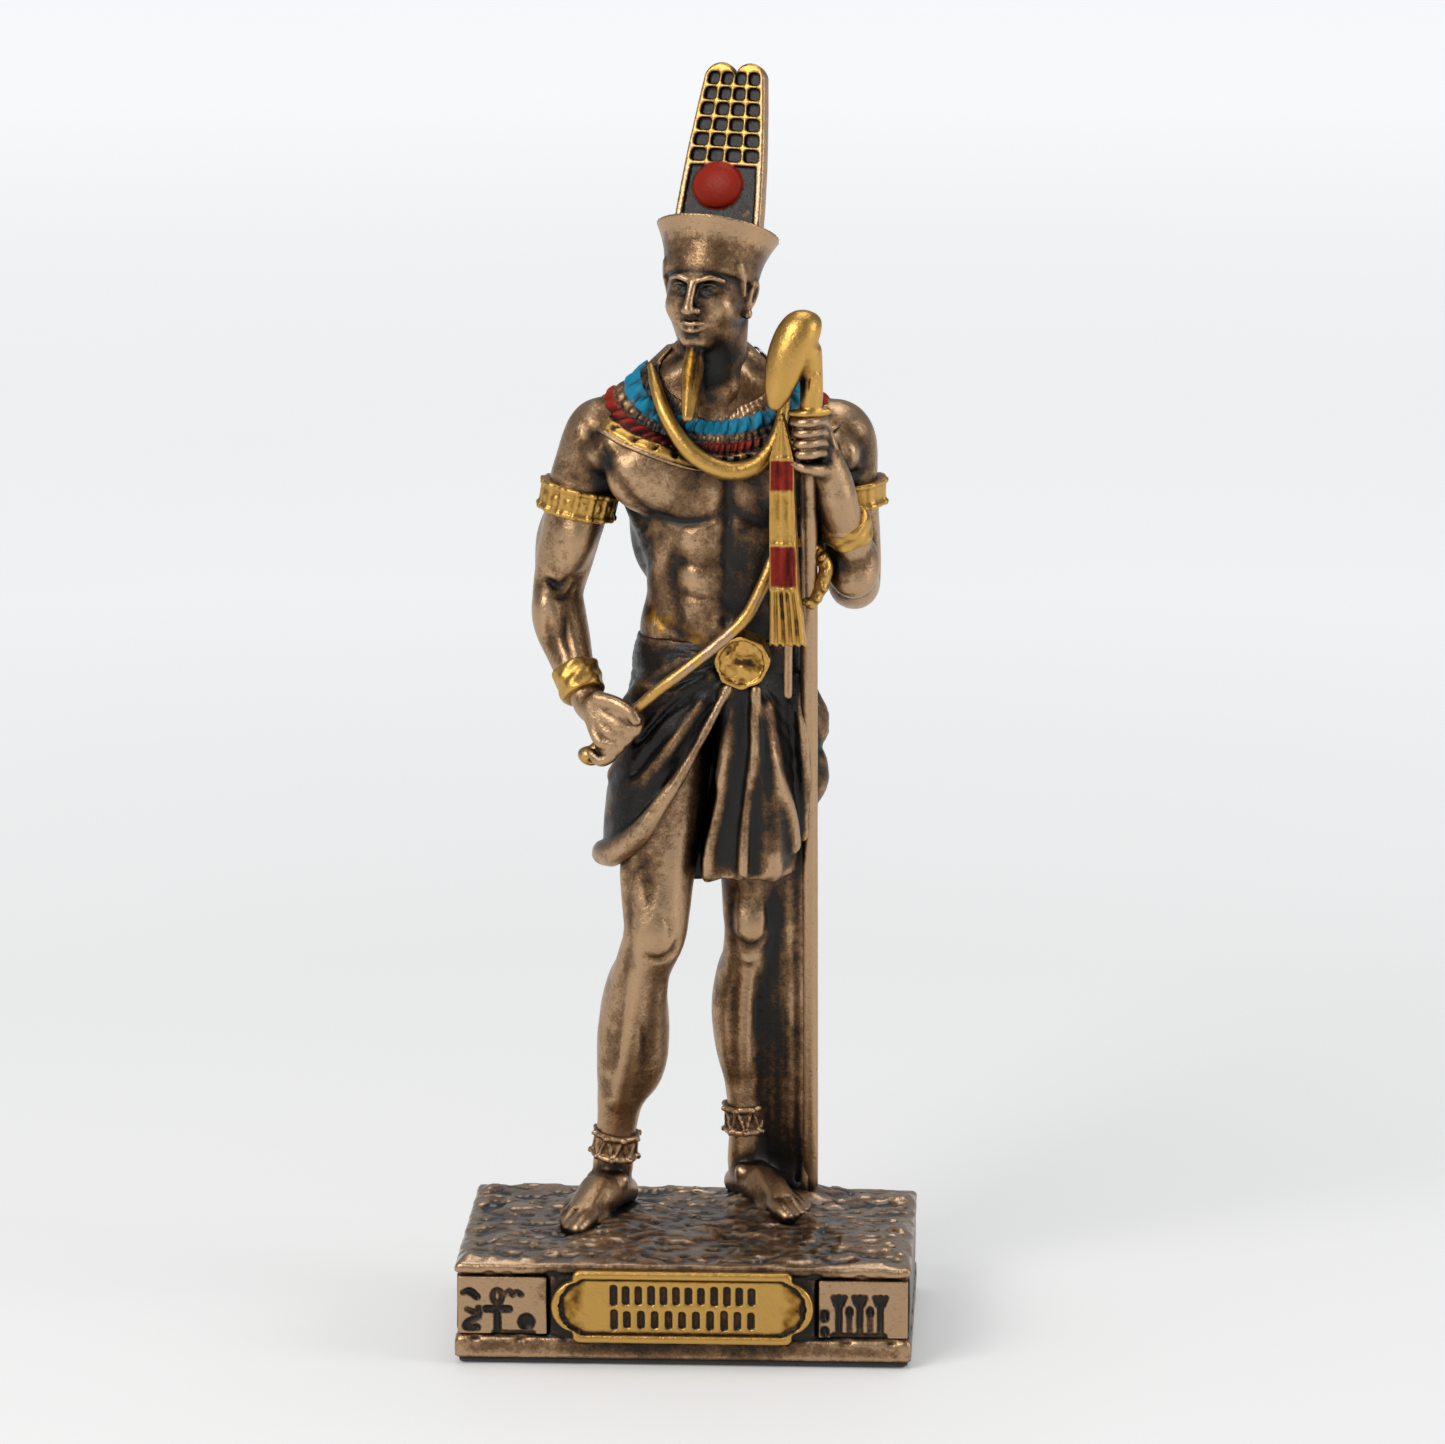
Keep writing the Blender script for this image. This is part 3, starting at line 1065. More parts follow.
def plume_holder():
    lean = leaning_frame((0, 0, 0), HEAD_TURN, HAT_LEAN)[1][1]
    origin = np.array(HAT_BASE) + lean * (HAT_HEIGHT - 0.4)
    return leaning_frame(origin, HEAD_TURN, PLUME_LEAN)


def plume_piece():
    holder = plume_holder()
    clay = Clay((-4.2, -1.5, 69.0), (6.4, 10.2, 82.8), pitch=0.105)

    def plate(side, up, front):
        half = plume_half(up)
        centre = half / 2
        shoulder = PLUME_HEIGHT - PLUME_SHOULDER
        over = np.maximum(up - shoulder, 0)
        lobe = np.sqrt((np.abs(side) - centre) ** 2 + (over * centre / PLUME_SHOULDER) ** 2) - centre
        body = np.where(up > shoulder, lobe, np.abs(side) - half)
        body = np.maximum(body, -up - 0.5)
        sheet = np.abs(front) - PLUME_THICKNESS / 2
        return soft_max(body, sheet, 0.25)

    def cells(side, up, front):
        """Distance to the sunk cells of both faces."""
        pitch = (CELLS_HIGH - CELLS_LOW) / PLUME_ROWS
        row = (up - CELLS_LOW) / pitch
        across = 2 * (plume_half(up) - 0.28) / PLUME_COLUMNS
        column = side / across + PLUME_COLUMNS / 2
        in_row = pitch * (np.abs(row - np.floor(row) - 0.5) - 0.5) + PLUME_RIB
        in_column = across * (np.abs(column - np.floor(column) - 0.5) - 0.5) + PLUME_RIB
        inside = soft_max(in_row, in_column, 0.35)
        inside = np.maximum(inside, np.maximum(CELLS_LOW - up, up - CELLS_HIGH))
        inside = np.maximum(inside, np.abs(side) - plume_half(up) + 0.3)
        return np.maximum(inside, PLUME_THICKNESS / 2 - 0.4 - np.abs(front))

    def niche(side, up, front):
        """The plain sunk field round the sun disc."""
        inside = np.maximum(np.abs(side) - plume_half(up) + 0.55, np.abs(up - 2.8) - 2.2)
        return np.maximum(inside, 0.3 - front)

    # In front of the plate by this much, a place is in a cell or niche by its outline alone
    well_ahead = 9.0
    reach = np.array((4.0, 13.0, 1.5))
    box = (-reach * (1, 0.1, 1), reach)
    clay.add(framed((box, plate), holder))
    clay.cut(framed((box, cells), holder), 0.12)
    clay.cut(framed((box, niche), holder), 0.15)
    disc = framed(ball((-0.3, 3.6, 0.35), (1.84, 1.64, 0.72)), holder)
    clay.add(disc, 0.06)

    def gold(points, outward):
        side, up, front = into_frame(holder, *points.T)
        patch = mottle(points, 0.9, 21)
        rim = np.abs(side) > plume_half(up) - 0.42
        upper = smooth_step(4.9, 5.3, up)
        ribs = upper * (1 - rim * smooth_step(0.35, 0.6, patch) * 0.8)
        lower = (1 - upper) * smooth_step(0.52, 0.6, patch) * (side < -1.4) * 0.35
        inside = 1 - smooth_step(-0.06, 0.06, cells(side, up, well_ahead))
        right = smooth_step(0.25, 0.05, plume_half(up) - side)
        kept = (1 - near_shape(disc, points)) * (1 - inside) * (1 - 0.8 * right)
        return (ribs + lower) * (front > 0.1) * kept

    def darkness(points, outward):
        side, up, front = into_frame(holder, *points.T)
        made = 1.6 * (1 - smooth_step(-0.08, 0.06, cells(side, up, well_ahead)))
        niche_in = 1 - smooth_step(-0.1, 0.1, niche(side, up, well_ahead))
        made = made + 1.6 * niche_in * smooth_step(0.2, 0.5, mottle(points, 1.3, 9)) + 0.42
        on_disc = near_shape(disc, points)
        return made * (1 - on_disc) - 0.7 * on_disc * (front > 0.2)

    def red(points, outward):
        return near_shape(disc, points) * (into_frame(holder, *points.T)[2] > 0.2)

    keep("figure_plumes_and_sun_disc", clay, lumps=0.02, darkness=darkness, paint={"gold": gold, "red": red})


# Hem of the kilt over the right thigh, (x, z), and the buckle the folds run out from
HEM = np.array((
    (-7.5, 25.6), (-6.2, 25.9), (-5.1, 26.7), (-3.5, 28.2), (-2.3, 29.7), (-0.6, 31.8), (1.2, 35.5),
    (2.2, 38.0),
))
BUCKLE = (3.68, -0.9, 41.05)


def from_buckle(points):
    """Angle and distance from the buckle, seen from the front."""
    gap_x, gap_z = points[:, 0] - BUCKLE[0], BUCKLE[2] - points[:, 2]
    return np.arctan2(gap_x, gap_z), np.hypot(gap_x, gap_z)


def kilt_piece():
    clay = Clay((-8.2, -3.4, 23.6), (11.4, 11.4, 44.2), pitch=0.18)
    clay.add(stack([
        (1.0, 5.9, 26.6, 6.2, 3.8), (1.2, 5.6, 30.0, 6.7, 4.1), (1.4, 5.1, 33.0, 6.9, 4.6),
        (1.7, 4.6, 36.6, 6.2, 4.7), (2.0, 4.6, 40.0, 6.1, 4.3), (2.25, 4.5, 42.0, 6.0, 4.05),
    ], 2.2))
    clay.add(stack([(-3.1, 3.3, 25.2, 3.1, 3.8), (-3.2, 3.3, 29.0, 3.1, 4.0), (-2.0, 3.5, 33.0, 3.6, 4.2),
                    (-0.4, 4.0, 38.6, 3.6, 4.1)]), 0.8)
    clay.add(stack([(5.6, 6.0, 27.2, 3.0, 3.4), (5.6, 5.8, 31.0, 3.1, 3.8), (5.0, 5.2, 36.0, 3.0, 4.0),
                    (4.6, 4.8, 40.0, 2.8, 3.6)]), 0.8)
    clay.add(tube([(6.9, 4.8, 39.8, 1.0), (7.6, 4.8, 37.6, 1.3), (8.1, 4.8, 35.6, 1.6), (7.8, 4.8, 33.9, 1.3),
                   (8.1, 4.8, 31.8, 1.6), (7.5, 4.8, 29.9, 1.3), (7.5, 4.8, 28.0, 1.2)]), 0.5)
    # The part below the rolled hem of the right leg is cut away, so the thigh shows

    def under_hem(x, y, z):
        return np.maximum(z - np.interp(x, HEM[:, 0], HEM[:, 1]), y - 7.5 + 0 * z) * 0.8

    clay.cut((((-9, -6, 22), (2.4, 8, 38.5)), under_hem), 0.2)
    clay.add(stack([
        (3.9, 3.3, 25.2, 3.4, 3.5), (4.2, 3.3, 28.0, 3.3, 3.7), (4.5, 3.0, 32.6, 2.9, 3.7),
        (3.8, 2.8, 38.0, 2.4, 3.3), (3.4, 2.6, 41.0, 2.0, 3.0),
    ]), 0.5)
    # Roll of cloth at the hem, round the thigh to the back
    clay.add(tube([
        (2.7, -0.9, 39.2, 0.22), (1.5, -1.2, 36.8, 0.28), (0.35, -1.35, 34.6, 0.34),
        (-0.9, -1.35, 32.5, 0.48), (-2.3, -1.2, 30.4, 0.65), (-3.8, -0.6, 28.4, 0.85),
        (-5.3, 0.7, 27.0, 0.95), (-6.2, 2.8, 26.4, 0.9), (-6.2, 5.4, 26.2, 0.8), (-5.0, 7.8, 26.2, 0.7),
    ]), 0.3)
    clay.cut(tube([(2.2, -1.7, 38.2, 0.1), (0.7, -2.15, 35.2, 0.14), (-0.9, -2.3, 32.6, 0.14),
                   (-2.6, -2.0, 30.2, 0.12)]), 0.3)
    ridges = (
        ([(4.66, -0.8, 39.0), (4.5, -0.95, 37.0), (4.6, -1.0, 35.3), (4.4, -1.0, 33.4), (4.1, -0.95, 31.0),
          (3.85, -0.8, 28.6), (3.75, -0.6, 25.8)], 0.40),
        ([(3.1, -0.4, 38.8), (2.6, -0.7, 34.6), (2.1, -0.5, 31.4), (1.5, -0.2, 28.3),
          (1.05, 0.2, 25.5)], 0.38),
        ([(5.2, -0.2, 37.4), (5.5, -0.4, 34.5), (6.1, -0.3, 32.1), (6.9, 0.3, 29.9),
          (7.3, 0.8, 27.5)], 0.36),
        ([(5.3, -0.4, 33.9), (5.7, -0.4, 29.9), (5.9, -0.2, 25.8)], 0.32),
        ([(0.8, -0.35, 37.6), (-1.3, -0.55, 34.7), (-3.2, -0.2, 32.3), (-4.7, 0.8, 30.4),
          (-5.6, 2.0, 29.2)], 0.42),
        ([(1.6, -0.2, 40.0), (-0.7, 0.0, 38.4), (-2.7, 0.4, 36.1), (-4.3, 1.3, 33.8),
          (-5.6, 2.7, 32.2)], 0.40),
        ([(1.9, -0.4, 38.9), (0.0, -0.3, 36.9), (-1.9, -0.2, 34.3), (-3.6, 0.2, 31.7),
          (-5.0, 1.4, 29.8)], 0.24),
        ([(0.4, 0.1, 41.0), (-1.8, 0.7, 39.8), (-3.6, 1.7, 38.2), (-4.8, 3.2, 36.6)], 0.36),
        ([(7.6, 2.4, 39.5), (7.8, 1.8, 36.0), (8.0, 1.9, 32.5), (7.8, 2.4, 28.0)], 0.5),
    )
    for rows, thick in ridges:
        behind, radius, soft = (0.15, thick, 0.5) if thick > 0.39 else (0.4, thick * 1.3, 1.2)
        clay.add(tube([(x, y + behind, z, radius) for x, y, z in rows]), soft)
    for rows in ([(3.9, -1.0, 38.0), (3.6, -1.15, 34.0), (3.2, -1.1, 30.0), (3.0, -0.9, 25.0)],
                 [(4.4, -1.3, 31.5), (4.35, -1.35, 28.5), (4.3, -1.2, 25.0)],
                 [(5.3, -1.0, 36.5), (5.7, -1.0, 32.0), (5.8, -0.8, 27.5)],
                 [(-0.2, -0.7, 38.0), (-2.2, -0.5, 35.3), (-3.9, -0.1, 32.9)],
                 [(0.8, -0.5, 39.6), (-1.5, 0.0, 37.3), (-3.6, 0.6, 34.8)]):
        clay.cut(tube([(x, y, z, 0.12) for x, y, z in rows]), 0.7)
    # Folds round the back and the far side
    for step in range(8):
        turn = math.radians(16 + 24 * step)
        across, back = math.cos(turn), math.sin(turn)
        clay.add(tube([(2.1 + 5.6 * across, 4.7 + 3.9 * back, 41.0, 0.3),
                       (1.6 + 6.1 * across, 5.2 + 4.4 * back, 34.0, 0.5),
                       (1.2 + 6.0 * across, 5.7 + 4.0 * back, 27.0, 0.5)]), 0.9)
    clay.add(stack([(2.15, 4.6, 39.8, 6.35, 4.45), (2.2, 4.6, 41.0, 6.35, 4.5),
                    (2.25, 4.5, 42.2, 6.1, 4.25)], 2.2), 0.25)
    # Opening between the thigh and the front flap, and the hollows under the hems
    clay.cut(stack([(0.0, 0.4, 23.0, 0.75, 3.2), (0.15, 0.4, 26.5, 0.75, 3.2), (0.5, 0.3, 29.5, 0.95, 3.0),
                    (0.95, 0.2, 31.6, 0.9, 2.6), (1.15, 0.2, 32.7, 0.5, 2.0)]), 0.2)
    clay.cut(ball((4.3, 4.8, 24.6), (3.0, 4.6, 1.7)), 0.3)
    clay.cut(ball((-2.7, 4.0, 25.0), (2.6, 3.4, 2.6)), 0.3)
    clay.cut(ball((3.2, 6.0, 25.0), (6.0, 3.2, 1.9)), 0.3)
    clay.add(brick((0.7, 4.6, 28.6), (1.7, 0.6, 4.3), 0.3), 0.3)

    def relief(points, outward):
        angle, far = from_buckle(points)
        streak = layered_noise(angle * 16, far * 0.28, points[:, 1] * 0.3, 1.0, 41)
        return (streak - 0.5) * 0.26 * smooth_step(1.5, 4.0, far)

    def darkness(points, outward):
        x, y, z = points.T
        hem = 1 - smooth_step(25.2, 28.5, z)
        roll = np.interp(z, HEM[:, 1], HEM[:, 0])
        lit = (1 - smooth_step(0.5, 1.3, np.abs(x - roll - 1.3))) * smooth_step(38.5, 30.0, z) * (y < 3.0)
        angle, far = from_buckle(points)
        streak = layered_noise(angle * 9, far * 0.16, y * 0.2, 1.0, 47)
        side = smooth_step(1.4, 3.0, x) * (y < 3.5) * 0.12 + 1.3 * (streak - 0.46)
        slot = blot((0.5, 3.0, 28.4), (1.5, 3.0, 4.9))(points) * (y > -0.6)
        waist = smooth_step(38.8, 40.4, z)
        return 1.0 - 0.3 * hem * (x > 0) - 0.7 * lit - side + 1.6 * slot + 0.55 * waist

    keep("figure_kilt", clay, darkness=darkness, relief=relief)
    plaque = Clay((1.2, -2.4, 38.6), (6.2, 1.4, 43.6), pitch=0.11)
    holder = leaning_frame(BUCKLE, 0, math.radians(-8))

    def octagon(side, up, front):
        turn = np.arctan2(up, side)
        out = np.hypot(side, up)
        rim = 1.92 + 0.05 * np.cos(turn * 8) + 0.05 * np.sin(turn * 3 + 1.0)
        pits = smooth_step(0.2, 0.8, layered_noise(side, up, 0 * side, 0.9, 3, 2)) * (out < 1.6)
        face = 0.38 - 0.30 * pits + 0.12 * smooth_step(1.5, 1.7, out)
        return np.maximum(np.maximum(out - rim, front - face), -1.6 - front)

    plaque.add(framed((((-2.2, -2.2, -1.7), (2.2, 2.2, 0.8)), octagon), holder))
    def stain(points, outward):
        return 0.7 * smooth_step(0.46, 0.68, mottle(points, 0.45, 93)) - 0.1

    keep("belt_plaque", plaque, lumps=0.13, lump_size=0.7, darkness=stain, paint={"gold": all_over})


def leg_piece():
    clay = Clay((-9.0, -4.6, -0.9), (9.9, 11.6, 34.5), pitch=0.18)
    clay.add(tube([
        (-1.6, 3.0, 33.5, 3.0), (-2.1, 2.7, 29.5, 3.0), (-2.4, 2.3, 25.4, 2.65), (-2.45, 1.5, 22.8, 2.4),
        (-2.6, 1.2, 20.8, 2.2), (-3.5, 1.9, 18.2, 2.0), (-4.1, 2.9, 14.8, 2.2), (-4.6, 3.6, 11.5, 2.1),
        (-5.15, 4.1, 8.6, 1.7), (-5.5, 4.6, 6.0, 1.42), (-5.8, 4.9, 3.0, 1.45),
    ]))
    clay.add(ball((-3.9, 4.3, 13.6), (2.0, 1.6, 4.9), 0, 0, -6), 1.5)
    clay.add(ball((-5.2, 3.5, 14.4), (1.0, 1.4, 4.2), 0, 0, 8), 1.2)
    clay.add(ball((-2.9, 0.5, 20.9), (1.45, 1.15, 1.7)), 0.8)
    for rows, thick in (
        ([(-3.3, 0.0, 19.4), (-3.9, 0.5, 16.5), (-4.6, 1.3, 12.5), (-5.2, 2.4, 8.5)], 0.5),
        ([(-1.0, 0.6, 28.5), (-1.5, 0.3, 25.6), (-1.8, 0.4, 23.0)], 0.7),
        ([(-4.0, 0.9, 28.0), (-4.1, 0.7, 25.2), (-3.9, 0.7, 22.6)], 0.6),
    ):
        ends = len(rows) - 1
        clay.add(tube([(x, y + 0.25, z, thick * (1 - 0.55 * abs(2 * i / ends - 1)))
                       for i, (x, y, z) in enumerate(rows)]), 1.1)
    clay.add(tube([
        (4.3, 5.4, 31.0, 2.9), (4.3, 5.7, 28.0, 2.7), (4.25, 6.0, 24.5, 2.35), (4.1, 5.6, 22.0, 2.05),
        (4.0, 5.4, 20.4, 1.8), (3.65, 6.2, 17.4, 1.72), (3.35, 7.1, 14.5, 1.85), (3.4, 7.5, 11.5, 1.65),
        (3.5, 7.8, 8.6, 1.38), (3.7, 8.1, 5.5, 1.28), (3.7, 8.4, 2.6, 1.4),
    ]))
    clay.add(ball((3.35, 8.2, 14.4), (1.65, 1.35, 4.6)), 1.4)
    clay.add(ball((2.7, 7.2, 14.2), (1.0, 1.3, 4.0)), 1.2)
    clay.add(ball((4.15, 4.35, 21.0), (1.25, 0.95, 1.5)), 0.8)
    clay.add(tube([(4.1, 4.4, 19.6, 0.2), (3.8, 5.3, 16.0, 0.25), (3.55, 6.6, 10.0, 0.1)]), 1.0)
    foot_forms(clay, (-5.7, 4.6), 1.08, 26)
    foot_forms(clay, (3.8, 8.0), 1.04, -34)
    # The fin of casting between the rear leg and the staff, with streaks down it
    lean = -math.atan2(STAFF_FOOT[1] - STAFF_TOP[1], STAFF_TOP[2])
    holder = leaning_frame((0, STAFF_FOOT[1], 0), 0, lean)
    edge = np.array([(-0.6, 2.7), (0.5, 3.0), (8.0, 3.6), (20.0, 4.4), (30.0, 5.0), (31.0, 5.0)])

    def fin(side, up, front):
        streak = np.sin(side * 9.0 + 0.8 * np.sin(up * 0.35) + up * 0.12)
        body = np.abs(front) - 0.42 - 0.025 * streak
        flare = 1.1 * (1 - smooth_step(0.0, 3.0, up))
        body = body - flare * 0.6
        inner = np.interp(up, edge[:, 0], edge[:, 1]) - side
        return np.maximum(np.maximum(body, inner), np.maximum(side - 8.2, up - 30.5))

    clay.add(framed((((2.4, -0.6, -1.6), (8.3, 31, 1.6)), fin), holder), 0.5)
    groove = tube([(7.35, 1.0, 0.5, 0.14), (7.4, 15.0, 0.5, 0.14), (7.45, 30.0, 0.5, 0.14)])
    clay.cut(framed(groove, holder), 0.3)

    def darkness(points, outward):
        rear = smooth_step(1.0, 2.2, points[:, 0])
        fin_part = smooth_step(5.0, 6.2, points[:, 0]) * smooth_step(1.5, 4.0, points[:, 2])
        knee = blot((-2.6, 0.5, 23.5), (3.0, 2.0, 5.5))(points)
        behind = smooth_step(0.1, 0.9, outward[:, 1]) * 0.35
        streaks = layered_noise(points[:, 0] * 2.2, points[:, 1] * 2.2, points[:, 2] * 0.16, 1.0, 53, 3)
        beside = blot((5.5, 6.4, 12.0), (1.3, 3.0, 15.0))(points)
        beside = beside + blot((6.2, 7.6, 2.6), (2.0, 2.0, 3.6))(points)
        return 0.3 * rear + fin_part * (0.2 + 1.0 * streaks) + behind - 0.12 * knee + 0.9 * beside

    def relief(points, outward):
        return drawn_relief(points, outward, LEG_LINES)

    keep("figure_legs_and_feet", clay, darkness=darkness, relief=relief)


# Shallow modelling drawn on the front: (x, z) points, half width and height
LEG_LINES = (
    ([(-4.6, 27.0), (-4.5, 24.5), (-4.3, 22.4), (-4.35, 20.0), (-4.9, 17.5)], 0.34, -0.16),
    ([(-3.1, 26.6), (-2.9, 24.6), (-2.7, 22.9)], 0.36, -0.13),
    ([(-4.3, 25.3), (-3.6, 25.9), (-2.9, 26.6)], 0.3, -0.12),
    ([(-0.9, 20.7), (-1.3, 19.9), (-2.1, 19.45), (-3.0, 19.7)], 0.26, -0.26),
    ([(-1.5, 20.9), (-1.4, 22.0), (-2.0, 22.9)], 0.3, -0.12),
    ([(-2.0, 18.8), (-2.4, 16.5), (-2.9, 13.0), (-3.9, 9.0)], 0.5, -0.13),
    ([(-3.4, 18.6), (-3.9, 15.5), (-4.6, 11.5), (-5.3, 8.2)], 0.4, 0.14),
    ([(-4.6, 17.6), (-5.0, 14.6), (-5.3, 11.6), (-5.6, 8.8)], 0.3, -0.13),
    ([(-3.6, 14.4), (-3.4, 12.6), (-3.6, 11.0)], 0.2, -0.10),
    ([(3.0, 23.6), (2.7, 21.8), (2.9, 19.8)], 0.3, -0.20),
    ([(5.3, 23.4), (5.5, 21.6), (5.2, 20.0)], 0.3, -0.20),
    ([(3.1, 20.2), (4.1, 19.5), (5.1, 20.1)], 0.28, -0.26),
    ([(3.4, 18.9), (4.0, 18.4), (4.9, 18.8)], 0.3, 0.12),
    ([(3.2, 18.4), (2.9, 15.0), (2.9, 11.5), (3.1, 8.6)], 0.3, -0.14),
    ([(3.9, 18.2), (3.7, 15.0), (3.6, 11.0), (3.6, 8.2)], 0.35, 0.07),
    ([(4.6, 17.5), (4.5, 14.0), (4.3, 10.5)], 0.3, -0.12),
)


def drawn_relief(points, outward, lines, facing=-1):
    """Height along the normal from lines drawn on the front, or with facing 1 on the back."""
    total = np.zeros(len(points))
    seen = smooth_step(0.05, 0.45, facing * outward[:, 1])
    for rows, width, height in lines:
        rows = smooth_rows([(x, 0, z, 0) for x, z in rows], 5)
        best = np.full(len(points), FAR)
        low, high = rows[:, 2].min() - 3 * width, rows[:, 2].max() + 3 * width
        near = (points[:, 2] > low) & (points[:, 2] < high) & (seen > 0)
        px, pz = points[near, 0], points[near, 2]
        gap = best[near]
        share_at = np.zeros(len(px))
        for index, (start, end) in enumerate(zip(rows, rows[1:])):
            ax, az = end[0] - start[0], end[2] - start[2]
            share = np.clip(((px - start[0]) * ax + (pz - start[2]) * az) / (ax * ax + az * az), 0, 1)
            found = np.hypot(px - start[0] - share * ax, pz - start[2] - share * az)
            share_at = np.where(found < gap, (index + share) / (len(rows) - 1), share_at)
            gap = np.minimum(gap, found)
        fade = np.clip(1.35 - np.abs(share_at - 0.5) * 2, 0, 1)
        total[near] += height * np.exp(-(gap / width) ** 2) * fade
    return total * seen


def foot_forms(clay, heel, size, turn):
    """A bare foot: heel, instep and ball, and five toes with nails. Turn is in degrees."""
    angle = math.radians(turn)
    ahead = np.array((-math.sin(angle), -math.cos(angle), 0))
    inner = np.array((math.cos(angle), -math.sin(angle), 0)) * (1 if turn > 0 else -1)
    start = np.array((*heel, 0))

    def spot(forward, inward, up):
        return start + (ahead * forward + inner * inward) * size + np.array((0, 0, up * size))

    clay.add(tube([
        (*spot(-1.3, 0.0, 0.85), 1.0 * size), (*spot(0.3, 0.0, 1.3), 1.35 * size),
        (*spot(2.2, 0.15, 1.25), 1.38 * size), (*spot(4.2, 0.2, 0.65), 1.2 * size),
        (*spot(5.6, 0.25, 0.3), 1.0 * size),
    ]), 0.5)
    clay.add(ball(spot(4.6, 0.0, 0.3), (1.9 * size, 2.1 * size, 0.8 * size), -turn), 0.5)
    clay.add(ball(spot(1.0, 1.15, 2.2), (0.5, 0.5, 0.5)), 0.4)
    clay.add(ball(spot(0.8, -1.15, 2.0), (0.5, 0.5, 0.5)), 0.4)
    for step in range(5):
        side = 1.35 - 0.68 * step
        reach = 7.4 - 0.12 * step * step
        width = 0.62 if step == 0 else 0.44
        clay.add(tube([(*spot(reach - 2.6, side * 0.85, 0.75), width * 0.7 * size),
                       (*spot(reach - 1.0, side, 0.62), width * size),
                       (*spot(reach - 0.1, side, 0.34), width * 0.92 * size)]), 0.12)
        clay.cut(ball(spot(reach + 0.1, side, 0.9 if step else 1.1), (0.24, 0.3, 0.2), -turn), 0.1)
        if step:
            clay.cut(tube([(*spot(reach - 2.0, side + 0.34, 1.3), 0.05),
                           (*spot(reach + 0.2, side + 0.34, 0.9), 0.16)]), 0.2)
        clay.add(tube([(*spot(2.4, side * 0.5, 2.3), 0.2),
                       (*spot(reach - 2.2, side * 0.85, 1.15), 0.2)]), 0.4)


def ring_piece(name, start, end, radii, pattern, paint=True, dark=0.0):
    shape = band(start, end, radii, pattern)
    low, high = (np.array(v) for v in shape[0])
    clay = Clay(low - 0.4, high + 0.4, pitch=0.12)
    clay.add(shape)
    keep(name, clay, lumps=0.03, lump_size=0.9, darkness=lambda p, n: np.full(len(p), dark),
         paint={"gold": all_over if paint else None})


def rings():
    """Anklets with a zigzag, armlets with raised rims and cells, and plain hammered bracelets."""
    def zigzag(t, turn):
        wave = 0.42 * np.arcsin(np.cos(turn * 8)) / 1.57
        rim = 0.24 * smooth_step(0.27, 0.33, np.abs(t - 0.5))
        return rim + 0.22 * (1 - smooth_step(0.10, 0.20, np.abs(wave - (t - 0.5)))) - 0.12

    def cells(t, turn):
        rim = 0.16 * smooth_step(0.28, 0.36, np.abs(t - 0.5))
        bars = 0.14 * smooth_step(0.35, 0.7, np.cos(turn * 15))
        boss = 0.10 * smooth_step(0.3, 0.8, np.cos(turn * 15 + math.pi))
        return rim + bars + boss * (1 - smooth_step(0.08, 0.16, np.abs(t - 0.5)))

    def ribs(t, turn):
        rim = 0.18 * smooth_step(0.26, 0.36, np.abs(t - 0.5))
        return rim + 0.12 * smooth_step(0.2, 0.7, np.cos(turn * 9))

    def hammered(t, turn):
        return 0.10 * np.sin(turn * 5 + t * 4) * np.sin(t * 9 + 1) - 0.02

    ring_piece("anklet_right", (-5.45, 4.5, 5.75), (-5.72, 4.75, 3.75), (1.55, 1.6), zigzag,
               paint=False, dark=0.15)
    ring_piece("anklet_left", (3.55, 7.95, 7.1), (3.7, 8.15, 4.9), (1.48, 1.5), zigzag,
               paint=False, dark=0.5)
    ring_piece("armlet_right", (-7.9, 4.8, 52.6), (-8.35, 4.85, 50.5), (2.72, 2.62), cells)
    ring_piece("armlet_left", (10.95, 4.9, 53.1), (11.12, 5.0, 51.2), (2.55, 2.42), ribs)
    ring_piece("bracelet_right", (-8.3, 2.65, 39.75), (-7.55, 1.35, 38.1), (1.72, 1.6), hammered)
    ring_piece("bracelet_left", (11.05, 1.35, 49.7), (10.82, 0.35, 51.1), (1.8, 1.68), hammered)


